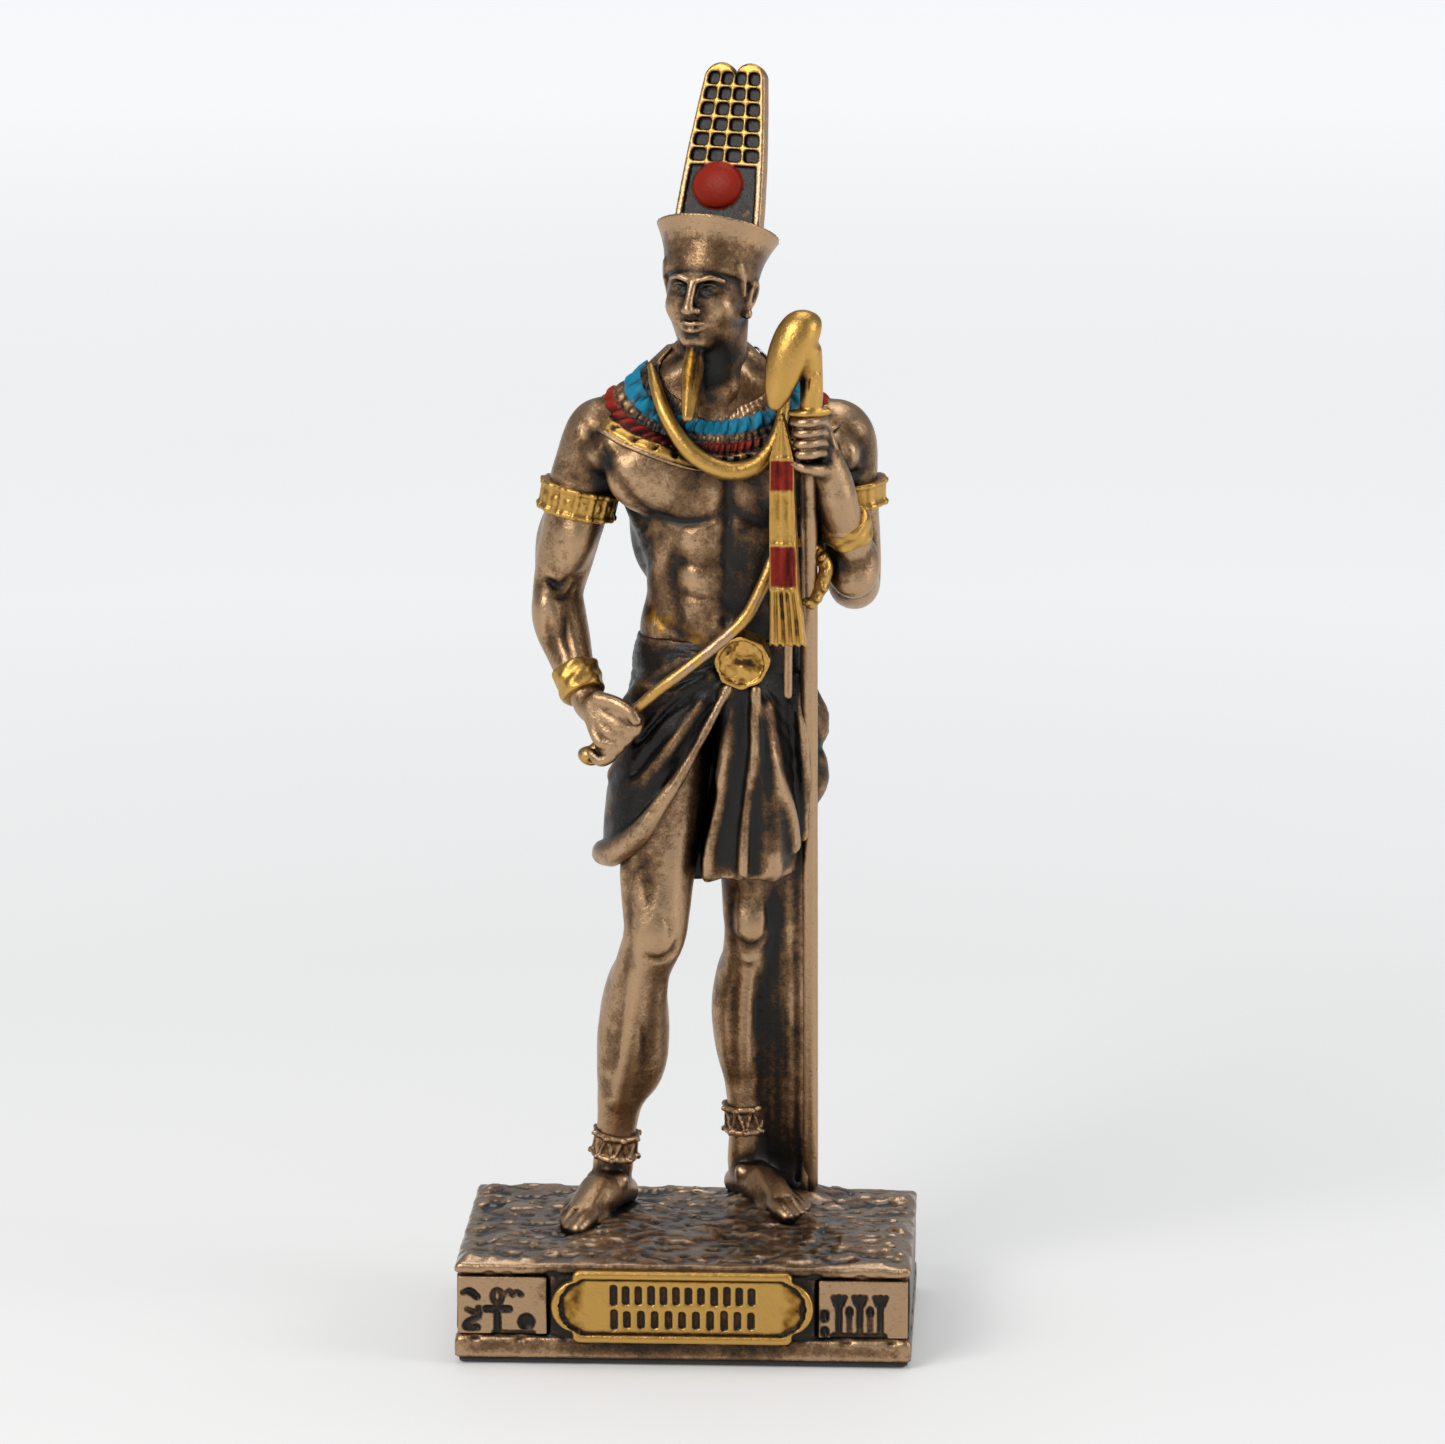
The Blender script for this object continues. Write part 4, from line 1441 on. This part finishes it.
def sceptre_piece():
    clay = Clay((4.6, -5.8, -0.8), (10.3, 10.2, 67.0), pitch=0.14)
    clay.add(tube([(*STAFF_FOOT, STAFF_RADIUS), (*STAFF_TOP, STAFF_RADIUS)]))
    clay.add(tube([(6.9, -0.6, 43.0, 0.34), (6.9, -0.9, 38.7, 0.32)]), 0.1)
    # Neck and head of the animal, its mouth, ear and eye, and the band below it
    clay.add(tube([(8.4, -2.6, 58.3, 0.72), (8.55, -2.7, 60.0, 0.8), (8.5, -2.7, 61.6, 0.85),
                   (8.2, -2.9, 63.2, 1.1)]))
    clay.add(tube([(8.35, -2.9, 65.15, 0.95), (7.75, -3.1, 64.7, 1.45), (7.1, -3.3, 63.4, 1.5),
                   (6.6, -3.45, 61.9, 1.3), (6.3, -3.55, 60.7, 1.0), (6.1, -3.6, 59.8, 0.6)],
                  flat=((0.35, 0.94, 0), 1.12)), 0.3)
    clay.cut(tube([(7.3, -3.4, 59.0, 0.16), (7.5, -3.3, 60.4, 0.16), (7.9, -3.3, 61.4, 0.12)]), 0.25)
    clay.cut(tube([(6.85, -4.85, 62.7, 0.07), (6.7, -4.85, 63.4, 0.07), (6.95, -4.85, 63.9, 0.07),
                   (7.25, -4.8, 63.5, 0.07), (7.1, -4.8, 62.9, 0.06), (7.25, -4.75, 62.4, 0.06)]), 0.12)
    oval = [(8.75, -3.4, 60.2), (8.55, -3.55, 60.8), (8.65, -3.6, 61.5), (8.95, -3.45, 61.8),
            (9.2, -3.2, 61.4), (9.2, -3.1, 60.7), (8.98, -3.25, 60.2), (8.75, -3.4, 60.2)]
    clay.add(tube([(*row, 0.12) for row in oval]), 0.08)
    clay.add(tube([(7.2, -2.7, 58.95, 0.3), (8.3, -3.35, 59.0, 0.32), (9.6, -2.6, 59.1, 0.32)]), 0.1)

    def gold(points, outward):
        upper = smooth_step(58.3, 58.6, points[:, 2])
        hollow = blot((7.4, -3.4, 60.8), (0.75, 0.9, 1.1))(points)
        return upper * (1 - 0.8 * hollow)

    def darkness(points, outward):
        down = blot((7.4, -3.4, 60.6), (1.0, 1.4, 1.5))(points)
        wrapped = plateau(50.0, 52.0, 57.0, 58.4, points[:, 2])
        side = smooth_step(0.1, 0.8, -outward[:, 0])
        return 0.6 * down + 0.8 * wrapped + 0.5 * side * (points[:, 2] < 44) + 0.3 * (outward[:, 1] > 0.3)

    keep("sceptre", clay, lumps=0.012, darkness=darkness, paint={"gold": gold})


# Height, middle and half width of the ribbon, and height and thickness of the ridges across it
RIBBON = np.array((
    (42.6, 0.45, 1.28), (44.5, 0.35, 1.18), (46.6, 0.2, 1.0), (49.7, 0.12, 0.95),
    (53.4, 0.05, 0.88), (55.75, 0.05, 0.86), (57.2, 0.02, 0.50), (58.9, 0.0, 0.10),
))
RIBBON_RIDGES = ((55.75, 0.14), (53.4, 0.14), (49.7, 0.14), (46.5, 0.16))


def ribbon_piece():
    """The hanging ribbon: a flat strip that widens to its fringe, ribbed down its length."""
    holder = leaning_frame((6.52, -2.55, 0.0), math.radians(6), 0)
    clay = Clay((4.4, -3.9, 42.0), (9.2, -1.2, 59.6), pitch=0.1)

    def outline(up):
        return [np.interp(up, RIBBON[:, 0], RIBBON[:, i]) for i in (1, 2)]

    def strip(side, up, front):
        middle, half = outline(up)
        across = (side - middle) / np.maximum(half, 0.05)
        fringe = 1 - smooth_step(46.2, 46.6, up)
        fold = 0.07 * np.cos(across * 6.5) * (1 - fringe) + 0.10 * np.cos(across * 15.7) * fringe
        fold = fold + 0.05 * smooth_step(0.75, 0.9, np.abs(across)) * (1 - fringe)
        cross = 0.06 * sum(np.exp(-((up - level) / thick) ** 2) for level, thick in RIBBON_RIDGES)
        face = front - (0.42 + fold + cross)
        body = np.maximum(np.maximum(face, -0.5 - front), (np.abs(side - middle) - half) * 0.98)
        ragged = 42.55 + 0.12 * np.cos(across * 15.7)
        return np.maximum(np.maximum(body, ragged - up), up - 58.9)

    clay.add(framed((((-1.3, 42.3, -0.7), (2.0, 59.0, 0.8)), strip), holder))

    def red(points, outward):
        up = points[:, 2]
        upper = plateau(53.45, 53.6, 55.55, 55.7, up)
        lower = plateau(46.65, 46.8, 49.5, 49.65, up)
        side, _, front = into_frame(holder, *points.T)
        middle, half = outline(up)
        inner = 1 - smooth_step(0.86, 0.97, np.abs(side - middle) / half)
        return (upper + lower) * inner * (front > 0.1)

    def darkness(points, outward):
        x, y, z = points.T
        streaks = smooth_step(0.5, 0.7, layered_noise(x * 2.5, y, z * 0.5, 1.0, 19))
        return 0.2 + 0.45 * red(points, outward) + 0.45 * streaks

    keep("sceptre_ribbon", clay, lumps=0.03, lump_size=0.9, darkness=darkness,
         paint={"gold": lambda p, n: smooth_step(-0.2, 0.2, -n[:, 1]), "red": red})


def crook_piece():
    clay = Clay((-8.2, -3.6, 33.0), (10.6, 1.4, 50.6), pitch=0.13)
    clay.add(tube([
        (-6.9, 0.1, 34.2, 0.5), (-6.0, -0.1, 35.2, 0.46), (-4.6, -0.35, 36.7, 0.4),
        (-3.4, -1.1, 37.9, 0.42), (-1.6, -1.55, 39.5, 0.44), (0.2, -1.6, 40.9, 0.44),
        (3.6, -1.2, 43.8, 0.46), (5.0, -1.0, 46.2, 0.46), (6.0, -0.6, 48.4, 0.46), (7.4, 0.0, 49.3, 0.46),
        (8.7, 0.2, 48.9, 0.5), (9.5, 0.1, 47.7, 0.52), (9.2, 0.0, 46.3, 0.5), (8.5, 0.0, 45.0, 0.42),
    ]))
    clay.add(ball((-7.1, 0.0, 34.0), (0.85, 0.8, 0.66), 0, 0, 20), 0.15)
    clay.cut(ball((-6.8, -0.7, 33.8), (0.35, 0.3, 0.2)), 0.15)
    for step in range(7):
        turn = math.radians(100 - 32 * step)
        spot = (8.25 + 1.25 * math.cos(turn), -0.15, 47.2 + 2.0 * math.sin(turn))
        clay.add(ball(spot, (0.42, 0.55, 0.3), 0, 0, -90 + math.degrees(turn)), 0.15)

    def darkness(points, outward):
        return 0.8 * smooth_step(0.1, 0.8, -outward[:, 2]) + 0.15

    def gold(points, outward):
        patch = mottle(points, 1.4, 63)
        return np.clip(smooth_step(0.38, 0.55, patch) + smooth_step(5.5, 6.5, points[:, 0]), 0, 0.9)

    keep("crook", clay, lumps=0.03, lump_size=0.9, darkness=darkness, paint={"gold": gold})


# Plinth and name plate, in modules
HALF_WIDTH = PLINTH_WIDTH / MODULE / 2
HALF_DEPTH = PLINTH_DEPTH / MODULE / 2
HEIGHT = PLINTH_HEIGHT / MODULE
UPPER_BAND = 0.7
LOWER_BAND = 1.1
GROOVE = 0.32
PLATE_HALF = PLATE_LENGTH / MODULE / 2
PLATE_TALL = PLATE_HEIGHT / MODULE / 2
PLATE_MIDDLE = -0.4 - PLATE_TALL
FIELD_MIDDLE = -HEIGHT / 2 + (LOWER_BAND - UPPER_BAND) / 2
FIELD_TOP = -UPPER_BAND - GROOVE
FIELD_BOTTOM = -HEIGHT + LOWER_BAND + GROOVE
PLATE_RIM = 0.62
SIGN_FACE = -11.0


def chips(x, y, size, seed):
    """Ragged flakes, longer across than deep, as in rough-broken stone."""
    bent = x + 1.6 * layered_noise(x, y, 0 * x, 2.5, seed + 50, 2)
    lifted = y + 1.2 * layered_noise(x, y, 0 * x, 2.2, seed + 70, 2)
    flakes = layered_noise(bent * 0.75, lifted * 1.15, 0 * x, size, seed, 4)
    ridges = 1 - np.abs(2 * layered_noise(bent * 0.7, lifted * 1.1, 0 * x, size * 1.3, seed + 9, 3) - 1)
    return 0.6 * flakes + 0.4 * ridges


def plinth_piece():
    clay = Clay((-16.4, -11.5, -HEIGHT - 0.6), (16.4, 11.5, 1.0), pitch=0.21)
    x, y, z = clay.grid()
    flat_x, flat_y = x[:, :, 0] + 0 * y[:, :, 0], y[:, :, 0] + 0 * x[:, :, 0]
    flakes = chips(flat_x, flat_y, 1.5, 61) * 7
    flakes = (np.floor(flakes) + smooth_step(0.55, 1.0, flakes - np.floor(flakes))) / 7
    top = (flakes - 0.5) * 1.3 + (layered_noise(flat_x, flat_y, 0 * flat_x, 6.0, 77, 2) - 0.5) * 0.5
    # Ground swept up round the feet and the staff
    for centre, reach, lift in (((-6.6, 0.5), 4.6, 0.28), ((5.3, 6.0), 4.4, 0.30), ((8.2, 8.6), 1.8, 0.5)):
        gap = np.hypot(flat_x - centre[0], flat_y - centre[1]) / reach
        top += lift * np.exp(-gap * gap * 1.6)
    edge = np.minimum(HALF_WIDTH - np.abs(flat_x), HALF_DEPTH - np.abs(flat_y))
    chipped = value_noise(flat_x, flat_y, 0 * flat_x, 0.8, 91)
    top = top * smooth_step(0.1, 1.0, edge) - 0.25 * (1 - smooth_step(0.0, 0.6, edge)) * (chipped - 0.2)
    ceiling = z - (top[:, :, None] - 0.03)
    worn = 0.05 * (layered_noise(x + 0 * z, y + 0 * z, z + 0 * x, 2.4, 15, 3) - 0.5)
    wall = round_corner(np.abs(x) - HALF_WIDTH, np.abs(y) - HALF_DEPTH, 0.35) + worn
    for level, deep in ((-UPPER_BAND - GROOVE / 2, 0.30), (-HEIGHT + LOWER_BAND + GROOVE / 2, 0.26)):
        ragged = 0.05 * np.sin(x * 1.7 + y * 1.3) + 0.04 * np.sin(x * 4.1 - y * 3.0)
        line = np.exp(-((z - level - ragged) / 0.15) ** 4)
        wall = wall + deep * line
    field_in = plateau(FIELD_BOTTOM, FIELD_BOTTOM + 0.08, FIELD_TOP - 0.08, FIELD_TOP, z)
    behind_signs = (np.abs(x) > 9.4) & (np.abs(x) < 15.8) & (y < -10)
    wall = wall + field_in * np.where(behind_signs, 0.45, 0.10)
    body = soft_max(wall, ceiling * 0.9, 0.35)
    body = np.maximum(body, -HEIGHT - 0.28 - z)
    clay.field = body.astype(np.float32)
    for x_at in (-9.6, 9.6):
        clay.cut(ball((x_at, -11.1, FIELD_MIDDLE), (0.5, 0.35, 2.0)), 0.4)

    def darkness(points, outward):
        x, y, z = points.T
        upward = smooth_step(0.35, 0.8, outward[:, 2])
        near_plate = smooth_step(12.5, 9.6, np.abs(x)) * (y < -10.5) * (z > -5.4)
        lower = smooth_step(9.0, 6.0, np.abs(x)) * (y < -10.5) * (z < -5.0)
        edge_gap = np.minimum(HALF_WIDTH - np.abs(x), HALF_DEPTH - np.abs(y))
        patch = smooth_step(0.38, 0.62, mottle(points, 3.0, 29))
        middle = blot((4.0, -2.0, 0.0), (9.0, 9.0, 3.0))(points)
        low = smooth_step(0.1, -0.3, z)
        top = upward * (0.5 * patch + 0.15 * middle + 0.5 * low - 0.12) * smooth_step(0.2, 1.4, edge_gap)
        low_band = smooth_step(-5.2, -5.6, z)
        return top + 0.75 * near_plate + 0.3 * lower + 0.6 * (upward < 0.3) + 0.25 * low_band

    def varnish(points, outward):
        return 0.85 * smooth_step(0.3, 0.8, outward[:, 2]) * smooth_step(-0.9, -0.5, points[:, 2])

    keep("plinth", clay, lumps=0.02, darkness=darkness, varnish=varnish)


def plate_piece():
    """The name plate. Its field carries rows of plain strokes in the inscription's place."""
    clay = Clay((-9.7, -12.1, -6.1), (9.7, -10.5, 0.1), pitch=0.105)
    strokes = []
    for row, (level, count) in enumerate(((-2.2, 12), (-3.95, 11))):
        for step in range(count):
            share = value_noise(step * 3.1, row * 5.7, 0.5, 1.0, 7)
            at = (step - (count - 1) / 2) * (10.6 / count) + 0.12 * (share - 0.5)
            strokes.append((at, level, 0.5 + 0.35 * share))

    def outline(x, z, inset):
        """An oblong with lobed ends, drawn inside the given inset."""
        tall = PLATE_TALL - inset
        u, v = np.abs(x), z - PLATE_MIDDLE
        body = round_corner(u - (PLATE_HALF - 1.5 - inset * 0.6), np.abs(v) - tall, 0.5)
        lobe = np.hypot(u - (PLATE_HALF - 1.75 - inset), v * 0.95) - 1.75
        return soft_min(body, np.maximum(lobe, np.abs(v) - tall), 0.2)

    def stroke_gap(x, z):
        best = np.full(np.broadcast_shapes(np.shape(x), np.shape(z)), FAR)
        for at, level, tall in strokes:
            gap_x = np.maximum(np.abs(x - at) - 0.08, 0)
            gap_z = np.maximum(np.abs(z - level) - tall * 0.7, 0)
            best = np.minimum(best, np.hypot(gap_x, gap_z) - 0.15)
        return best

    front = -(HALF_DEPTH + PLATE_THICKNESS / MODULE)
    x, y, z = clay.grid()
    outer = outline(x, z, 0.0)
    inner = outline(x, z, PLATE_RIM)
    ragged = 0.10 * smooth_step(7.0, 7.8, np.abs(x)) * np.sin(z * 9)
    sunk = 0.30 * smooth_step(0.1, -0.12, inner + ragged)
    crest = 0.06 * np.exp(-((outer + 0.32) / 0.22) ** 2)
    face = (front + 0.06 - crest + sunk) - y
    face = face + 0.14 * smooth_step(0.08, -0.04, stroke_gap(x, z)) * (inner < -0.2)
    body = soft_max(outer, face, 0.22)
    clay.field = np.maximum(body, y + 10.75).astype(np.float32)

    def gold(points, outward):
        return 1 - smooth_step(-11.15, -11.0, points[:, 1]) * 0.3

    def darkness(points, outward):
        x, _, z = points.T
        inner = outline(x, z, PLATE_RIM)
        rim_line = np.exp(-((inner + 0.05) / 0.16) ** 2)
        stain = layered_noise(x, z, 0 * x, 0.8, 3) * 1.5
        ends = smooth_step(6.4, 7.6, np.abs(x)) * (inner < 0.1) * stain
        written = smooth_step(0.06, -0.04, stroke_gap(x, z)) * (inner < -0.2)
        return 0.2 + 0.8 * rim_line + 1.2 * ends + 3.0 * written

    keep("name_plate", clay, lumps=0.015, lump_size=0.8, darkness=darkness, paint={"gold": gold})


def sign_forms():
    """The incised signs: a looped cross, a disc, plain marks, and a row of lotus flowers."""
    left, right = [], []

    def stroke(into, rows):
        into.append(tube([(x, SIGN_FACE, z, r * 1.6) for x, z, r in rows], 3))

    cross = -12.98
    stroke(left, [(cross, -3.1, 0.13), (cross, -5.0, 0.15)])
    stroke(left, [(cross - 0.8, -3.35, 0.15), (cross + 0.8, -3.35, 0.15)])
    loop = ((0, -3.1), (-0.32, -2.6), (-0.27, -2.15), (0, -1.98), (0.27, -2.15), (0.32, -2.6), (0, -3.1))
    stroke(left, [(cross + x, z, 0.11) for x, z in loop])
    left.append(ball((-10.95, SIGN_FACE, -4.25), (0.58, 0.3, 0.58)))
    stroke(left, [(-13.2, -5.05, 0.09), (-10.5, -5.05, 0.09)])
    stroke(left, [(-12.4, -2.25, 0.11), (-12.1, -2.05, 0.11), (-11.9, -2.3, 0.11), (-11.6, -2.1, 0.11),
                  (-11.3, -2.3, 0.1)])
    stroke(left, [(-15.4, -2.2, 0.09), (-14.9, -2.1, 0.16), (-14.4, -2.5, 0.14)])
    stroke(left, [(-14.3, -3.3, 0.12), (-14.3, -3.9, 0.12), (-15.0, -4.3, 0.14), (-15.2, -4.7, 0.12),
                  (-14.4, -4.7, 0.14)])
    stroke(left, [(-15.1, -3.4, 0.09), (-14.6, -3.6, 0.12)])
    ground = -5.0
    stroke(right, [(10.6, ground, 0.13), (14.1, ground, 0.13)])
    for step in range(3):
        x = 10.95 + 1.45 * step
        stroke(right, [(x, ground, 0.12), (x, -2.9, 0.12)])
        stroke(right, [(x - 0.38, -2.2, 0.10), (x, -2.75, 0.16), (x + 0.38, -2.2, 0.10)])
        stroke(right, [(x, -2.75, 0.16), (x, -2.2, 0.12)])
    for step in range(2):
        x = 11.68 + 1.45 * step
        stroke(right, [(x, ground, 0.09), (x, -3.5, 0.09)])
        right.append(ball((x, SIGN_FACE, -3.25), (0.24, 0.26, 0.38)))
    stroke(right, [(9.95, -3.4, 0.16), (9.95, -3.7, 0.16)])
    stroke(right, [(9.95, -4.6, 0.16), (9.95, -4.8, 0.16)])
    return left, right


def sign_panels():
    left, right = sign_forms()
    top, bottom = FIELD_TOP - 0.02, FIELD_BOTTOM + 0.02
    for name, signs, low, high in (("signs_left", left, -15.75, -9.5), ("signs_right", right, 9.5, 15.75)):
        clay = Clay((low - 0.4, -11.35, bottom - 0.3), (high + 0.4, -10.2, top + 0.3), pitch=0.1)
        centre = ((low + high) / 2, -10.72, (top + bottom) / 2)
        clay.add(brick(centre, ((high - low) / 2, 0.235, (top - bottom) / 2), 0.04))
        for sign in signs:
            clay.cut(sign, 0.06)

        def darkness(points, outward, signs=signs):
            sunk = np.zeros(len(points))
            for sign in signs:
                sunk = np.maximum(sunk, near_shape(sign, points, 0.09))
            worn = 0.5 * (mottle(points, 1.6, 34) - 0.3)
            by_plate = smooth_step(11.2, 9.9, np.abs(points[:, 0])) * mottle(points, 1.2, 4)
            return 0.25 + worn + 2.0 * sunk + 0.9 * by_plate

        keep(name, clay, lumps=0.02, darkness=darkness)


def felt_piece():
    """The pad, a little smaller than the plinth, with a slightly uneven edge."""
    low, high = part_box("felt_pad")
    top = PAD_THICKNESS + PAD_GAP
    half = [(b - a) / 2 / MODULE for a, b in zip(low, high)]
    room = 0.4
    clay = Clay((-half[0] - room, -half[1] - room, -room),
                (half[0] + room, half[1] + room, top / MODULE + room), pitch=0.35)
    clay.add(brick((0, 0, top / MODULE / 2), (half[0], half[1], top / MODULE / 2), 0.12))
    points, faces = skin(clay)
    points = relax(clay, points, faces)
    outward = slopes(clay, points)
    fuzz = mottle(points, 0.8, 3, 2) - 0.5
    points = points + outward * (fuzz * 0.07 * (np.abs(outward[:, 2]) < 0.7))[:, None]
    made = np.array(points) * MODULE + np.array((0, PLINTH_BACK, 0))
    piece = mesh_object("pad_of_felt", made, faces, FELT)
    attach(piece, "root")
    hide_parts("felt_pad")


chest = torso_piece()
right_hand()
left_hand()
collar_piece(*chest)
head_piece()
plume_piece()
kilt_piece()
leg_piece()
rings()
sceptre_piece()
ribbon_piece()
crook_piece()
plinth_piece()
plate_piece()
sign_panels()

# How crowded each place is: the share of nearby space that is solid
CROWD_PITCH = 0.4
CROWD_LOW = np.array((-18.0, -14.0, -9.0))
CROWD_SHAPE = (90, 70, 230)
solid = np.zeros(CROWD_SHAPE, np.float32)
for name, clay, looks in works:
    picks, part = [], []
    for low, count, start in zip(clay.low, clay.field.shape, CROWD_LOW):
        first = max(math.ceil((low - start) / CROWD_PITCH), 0)
        last = int((low + (count - 1) * clay.pitch - start) / CROWD_PITCH)
        places = start + np.arange(first, last + 1) * CROWD_PITCH - low
        picks.append(np.clip(np.round(places / clay.pitch).astype(int), 0, count - 1))
        part.append(slice(first, last + 1))
    share = np.clip(0.5 - clay.field[np.ix_(*picks)] / CROWD_PITCH, 0, 1)
    part = tuple(part)
    solid[part] = np.maximum(solid[part], share)
crowding = ((blurred(solid, 2), 1.1, 0.9), (blurred(solid, 5), 2.4, 0.9))

for name, clay, looks in works:
    make_piece(name, clay, **looks)
felt_piece()


# Floor, light and camera

def floor_material():
    made, tree, shader = new_material("Pale floor")
    tone = noise(tree, 18.0, 3.0, 0.5)
    tree.links.new(mix(tree, tone, (0.78, 0.78, 0.775), (0.80, 0.80, 0.795)), shader.inputs["Base Color"])
    # Further off, the floor is lit more
    far = node(tree, "ShaderNodeVectorMath", operation="LENGTH")
    tree.links.new(tree.nodes["spot"].outputs["Object"], far.inputs[0])
    glow = ramp(tree, far.outputs["Value"], (
        (0.03, (0.17, 0.17, 0.17)), (0.12, (0.21, 0.21, 0.215)), (0.3, (0.42, 0.43, 0.435)),
        (0.8, (0.66, 0.665, 0.675)),
    ))
    tree.links.new(glow, shader.inputs["Emission Color"])
    shader.inputs["Emission Strength"].default_value = 1.0
    shader.inputs["Roughness"].default_value = 0.5
    return made


def backdrop():
    """A wide floor, which fills the picture behind the figure too."""
    points = np.array([(x, y, 0.0) for y in (-3, 3) for x in (-3, 3)])
    mesh_object("floor", points, np.array([(0, 1, 3, 2)]), floor_material())


def area_light(name, spot, size, power, aim, colour=(1, 1, 1)):
    data = bpy.data.lights.new(name, "AREA")
    data.size = size
    data.energy = power
    data.color = colour
    lamp = bpy.data.objects.new(name, data)
    lamp.location = spot
    lamp.rotation_mode = "QUATERNION"
    lamp.rotation_quaternion = (Vector(aim) - Vector(spot)).to_track_quat("-Z", "Y")
    bpy.context.scene.collection.objects.link(lamp)


bpy.context.scene.view_settings.view_transform = "Standard"
backdrop()
MIDDLE = (0, 0, 0.045)
area_light("key", (-0.24, -0.30, 0.32), 0.26, 1.25, MIDDLE, (1.0, 0.985, 0.96))
area_light("fill", (0.40, -0.10, 0.20), 0.22, 0.5, MIDDLE)
area_light("top", (0.02, 0.08, 0.45), 0.26, 0.55, MIDDLE)
world = bpy.data.worlds.new("Studio")
bpy.context.scene.world = world
world.use_nodes = True
world.node_tree.nodes["Background"].inputs["Color"].default_value = (0.93, 0.955, 0.98, 1)
world.node_tree.nodes["Background"].inputs["Strength"].default_value = 0.33

# Camera fitted to the plinth in the photo. The shift is in pixels of the photo
AZIMUTH, ELEVATION, DISTANCE = math.radians(2.8), math.radians(11), 0.520
PHOTO_WIDTH = 1445
SHIFT = (32.4, -15.3)
back = Vector((math.sin(AZIMUTH) * math.cos(ELEVATION), -math.cos(AZIMUTH) * math.cos(ELEVATION),
               math.sin(ELEVATION)))
camera_data = bpy.data.cameras.new("Camera")
camera_data.lens = 184.2
camera_data.sensor_width = 36
camera_data.clip_start = 0.01
camera_data.clip_end = 10
camera_data.shift_x = SHIFT[0] / PHOTO_WIDTH
camera_data.shift_y = SHIFT[1] / PHOTO_WIDTH
camera = bpy.data.objects.new("Camera", camera_data)
bpy.context.scene.collection.objects.link(camera)
camera.location = Vector((0, PLINTH_BACK, MIDDLE[2])) + back * DISTANCE
camera.rotation_mode = "QUATERNION"
camera.rotation_quaternion = (-back).to_track_quat("-Z", "Y")
bpy.context.scene.camera = camera

bpy.context.view_layer.update()
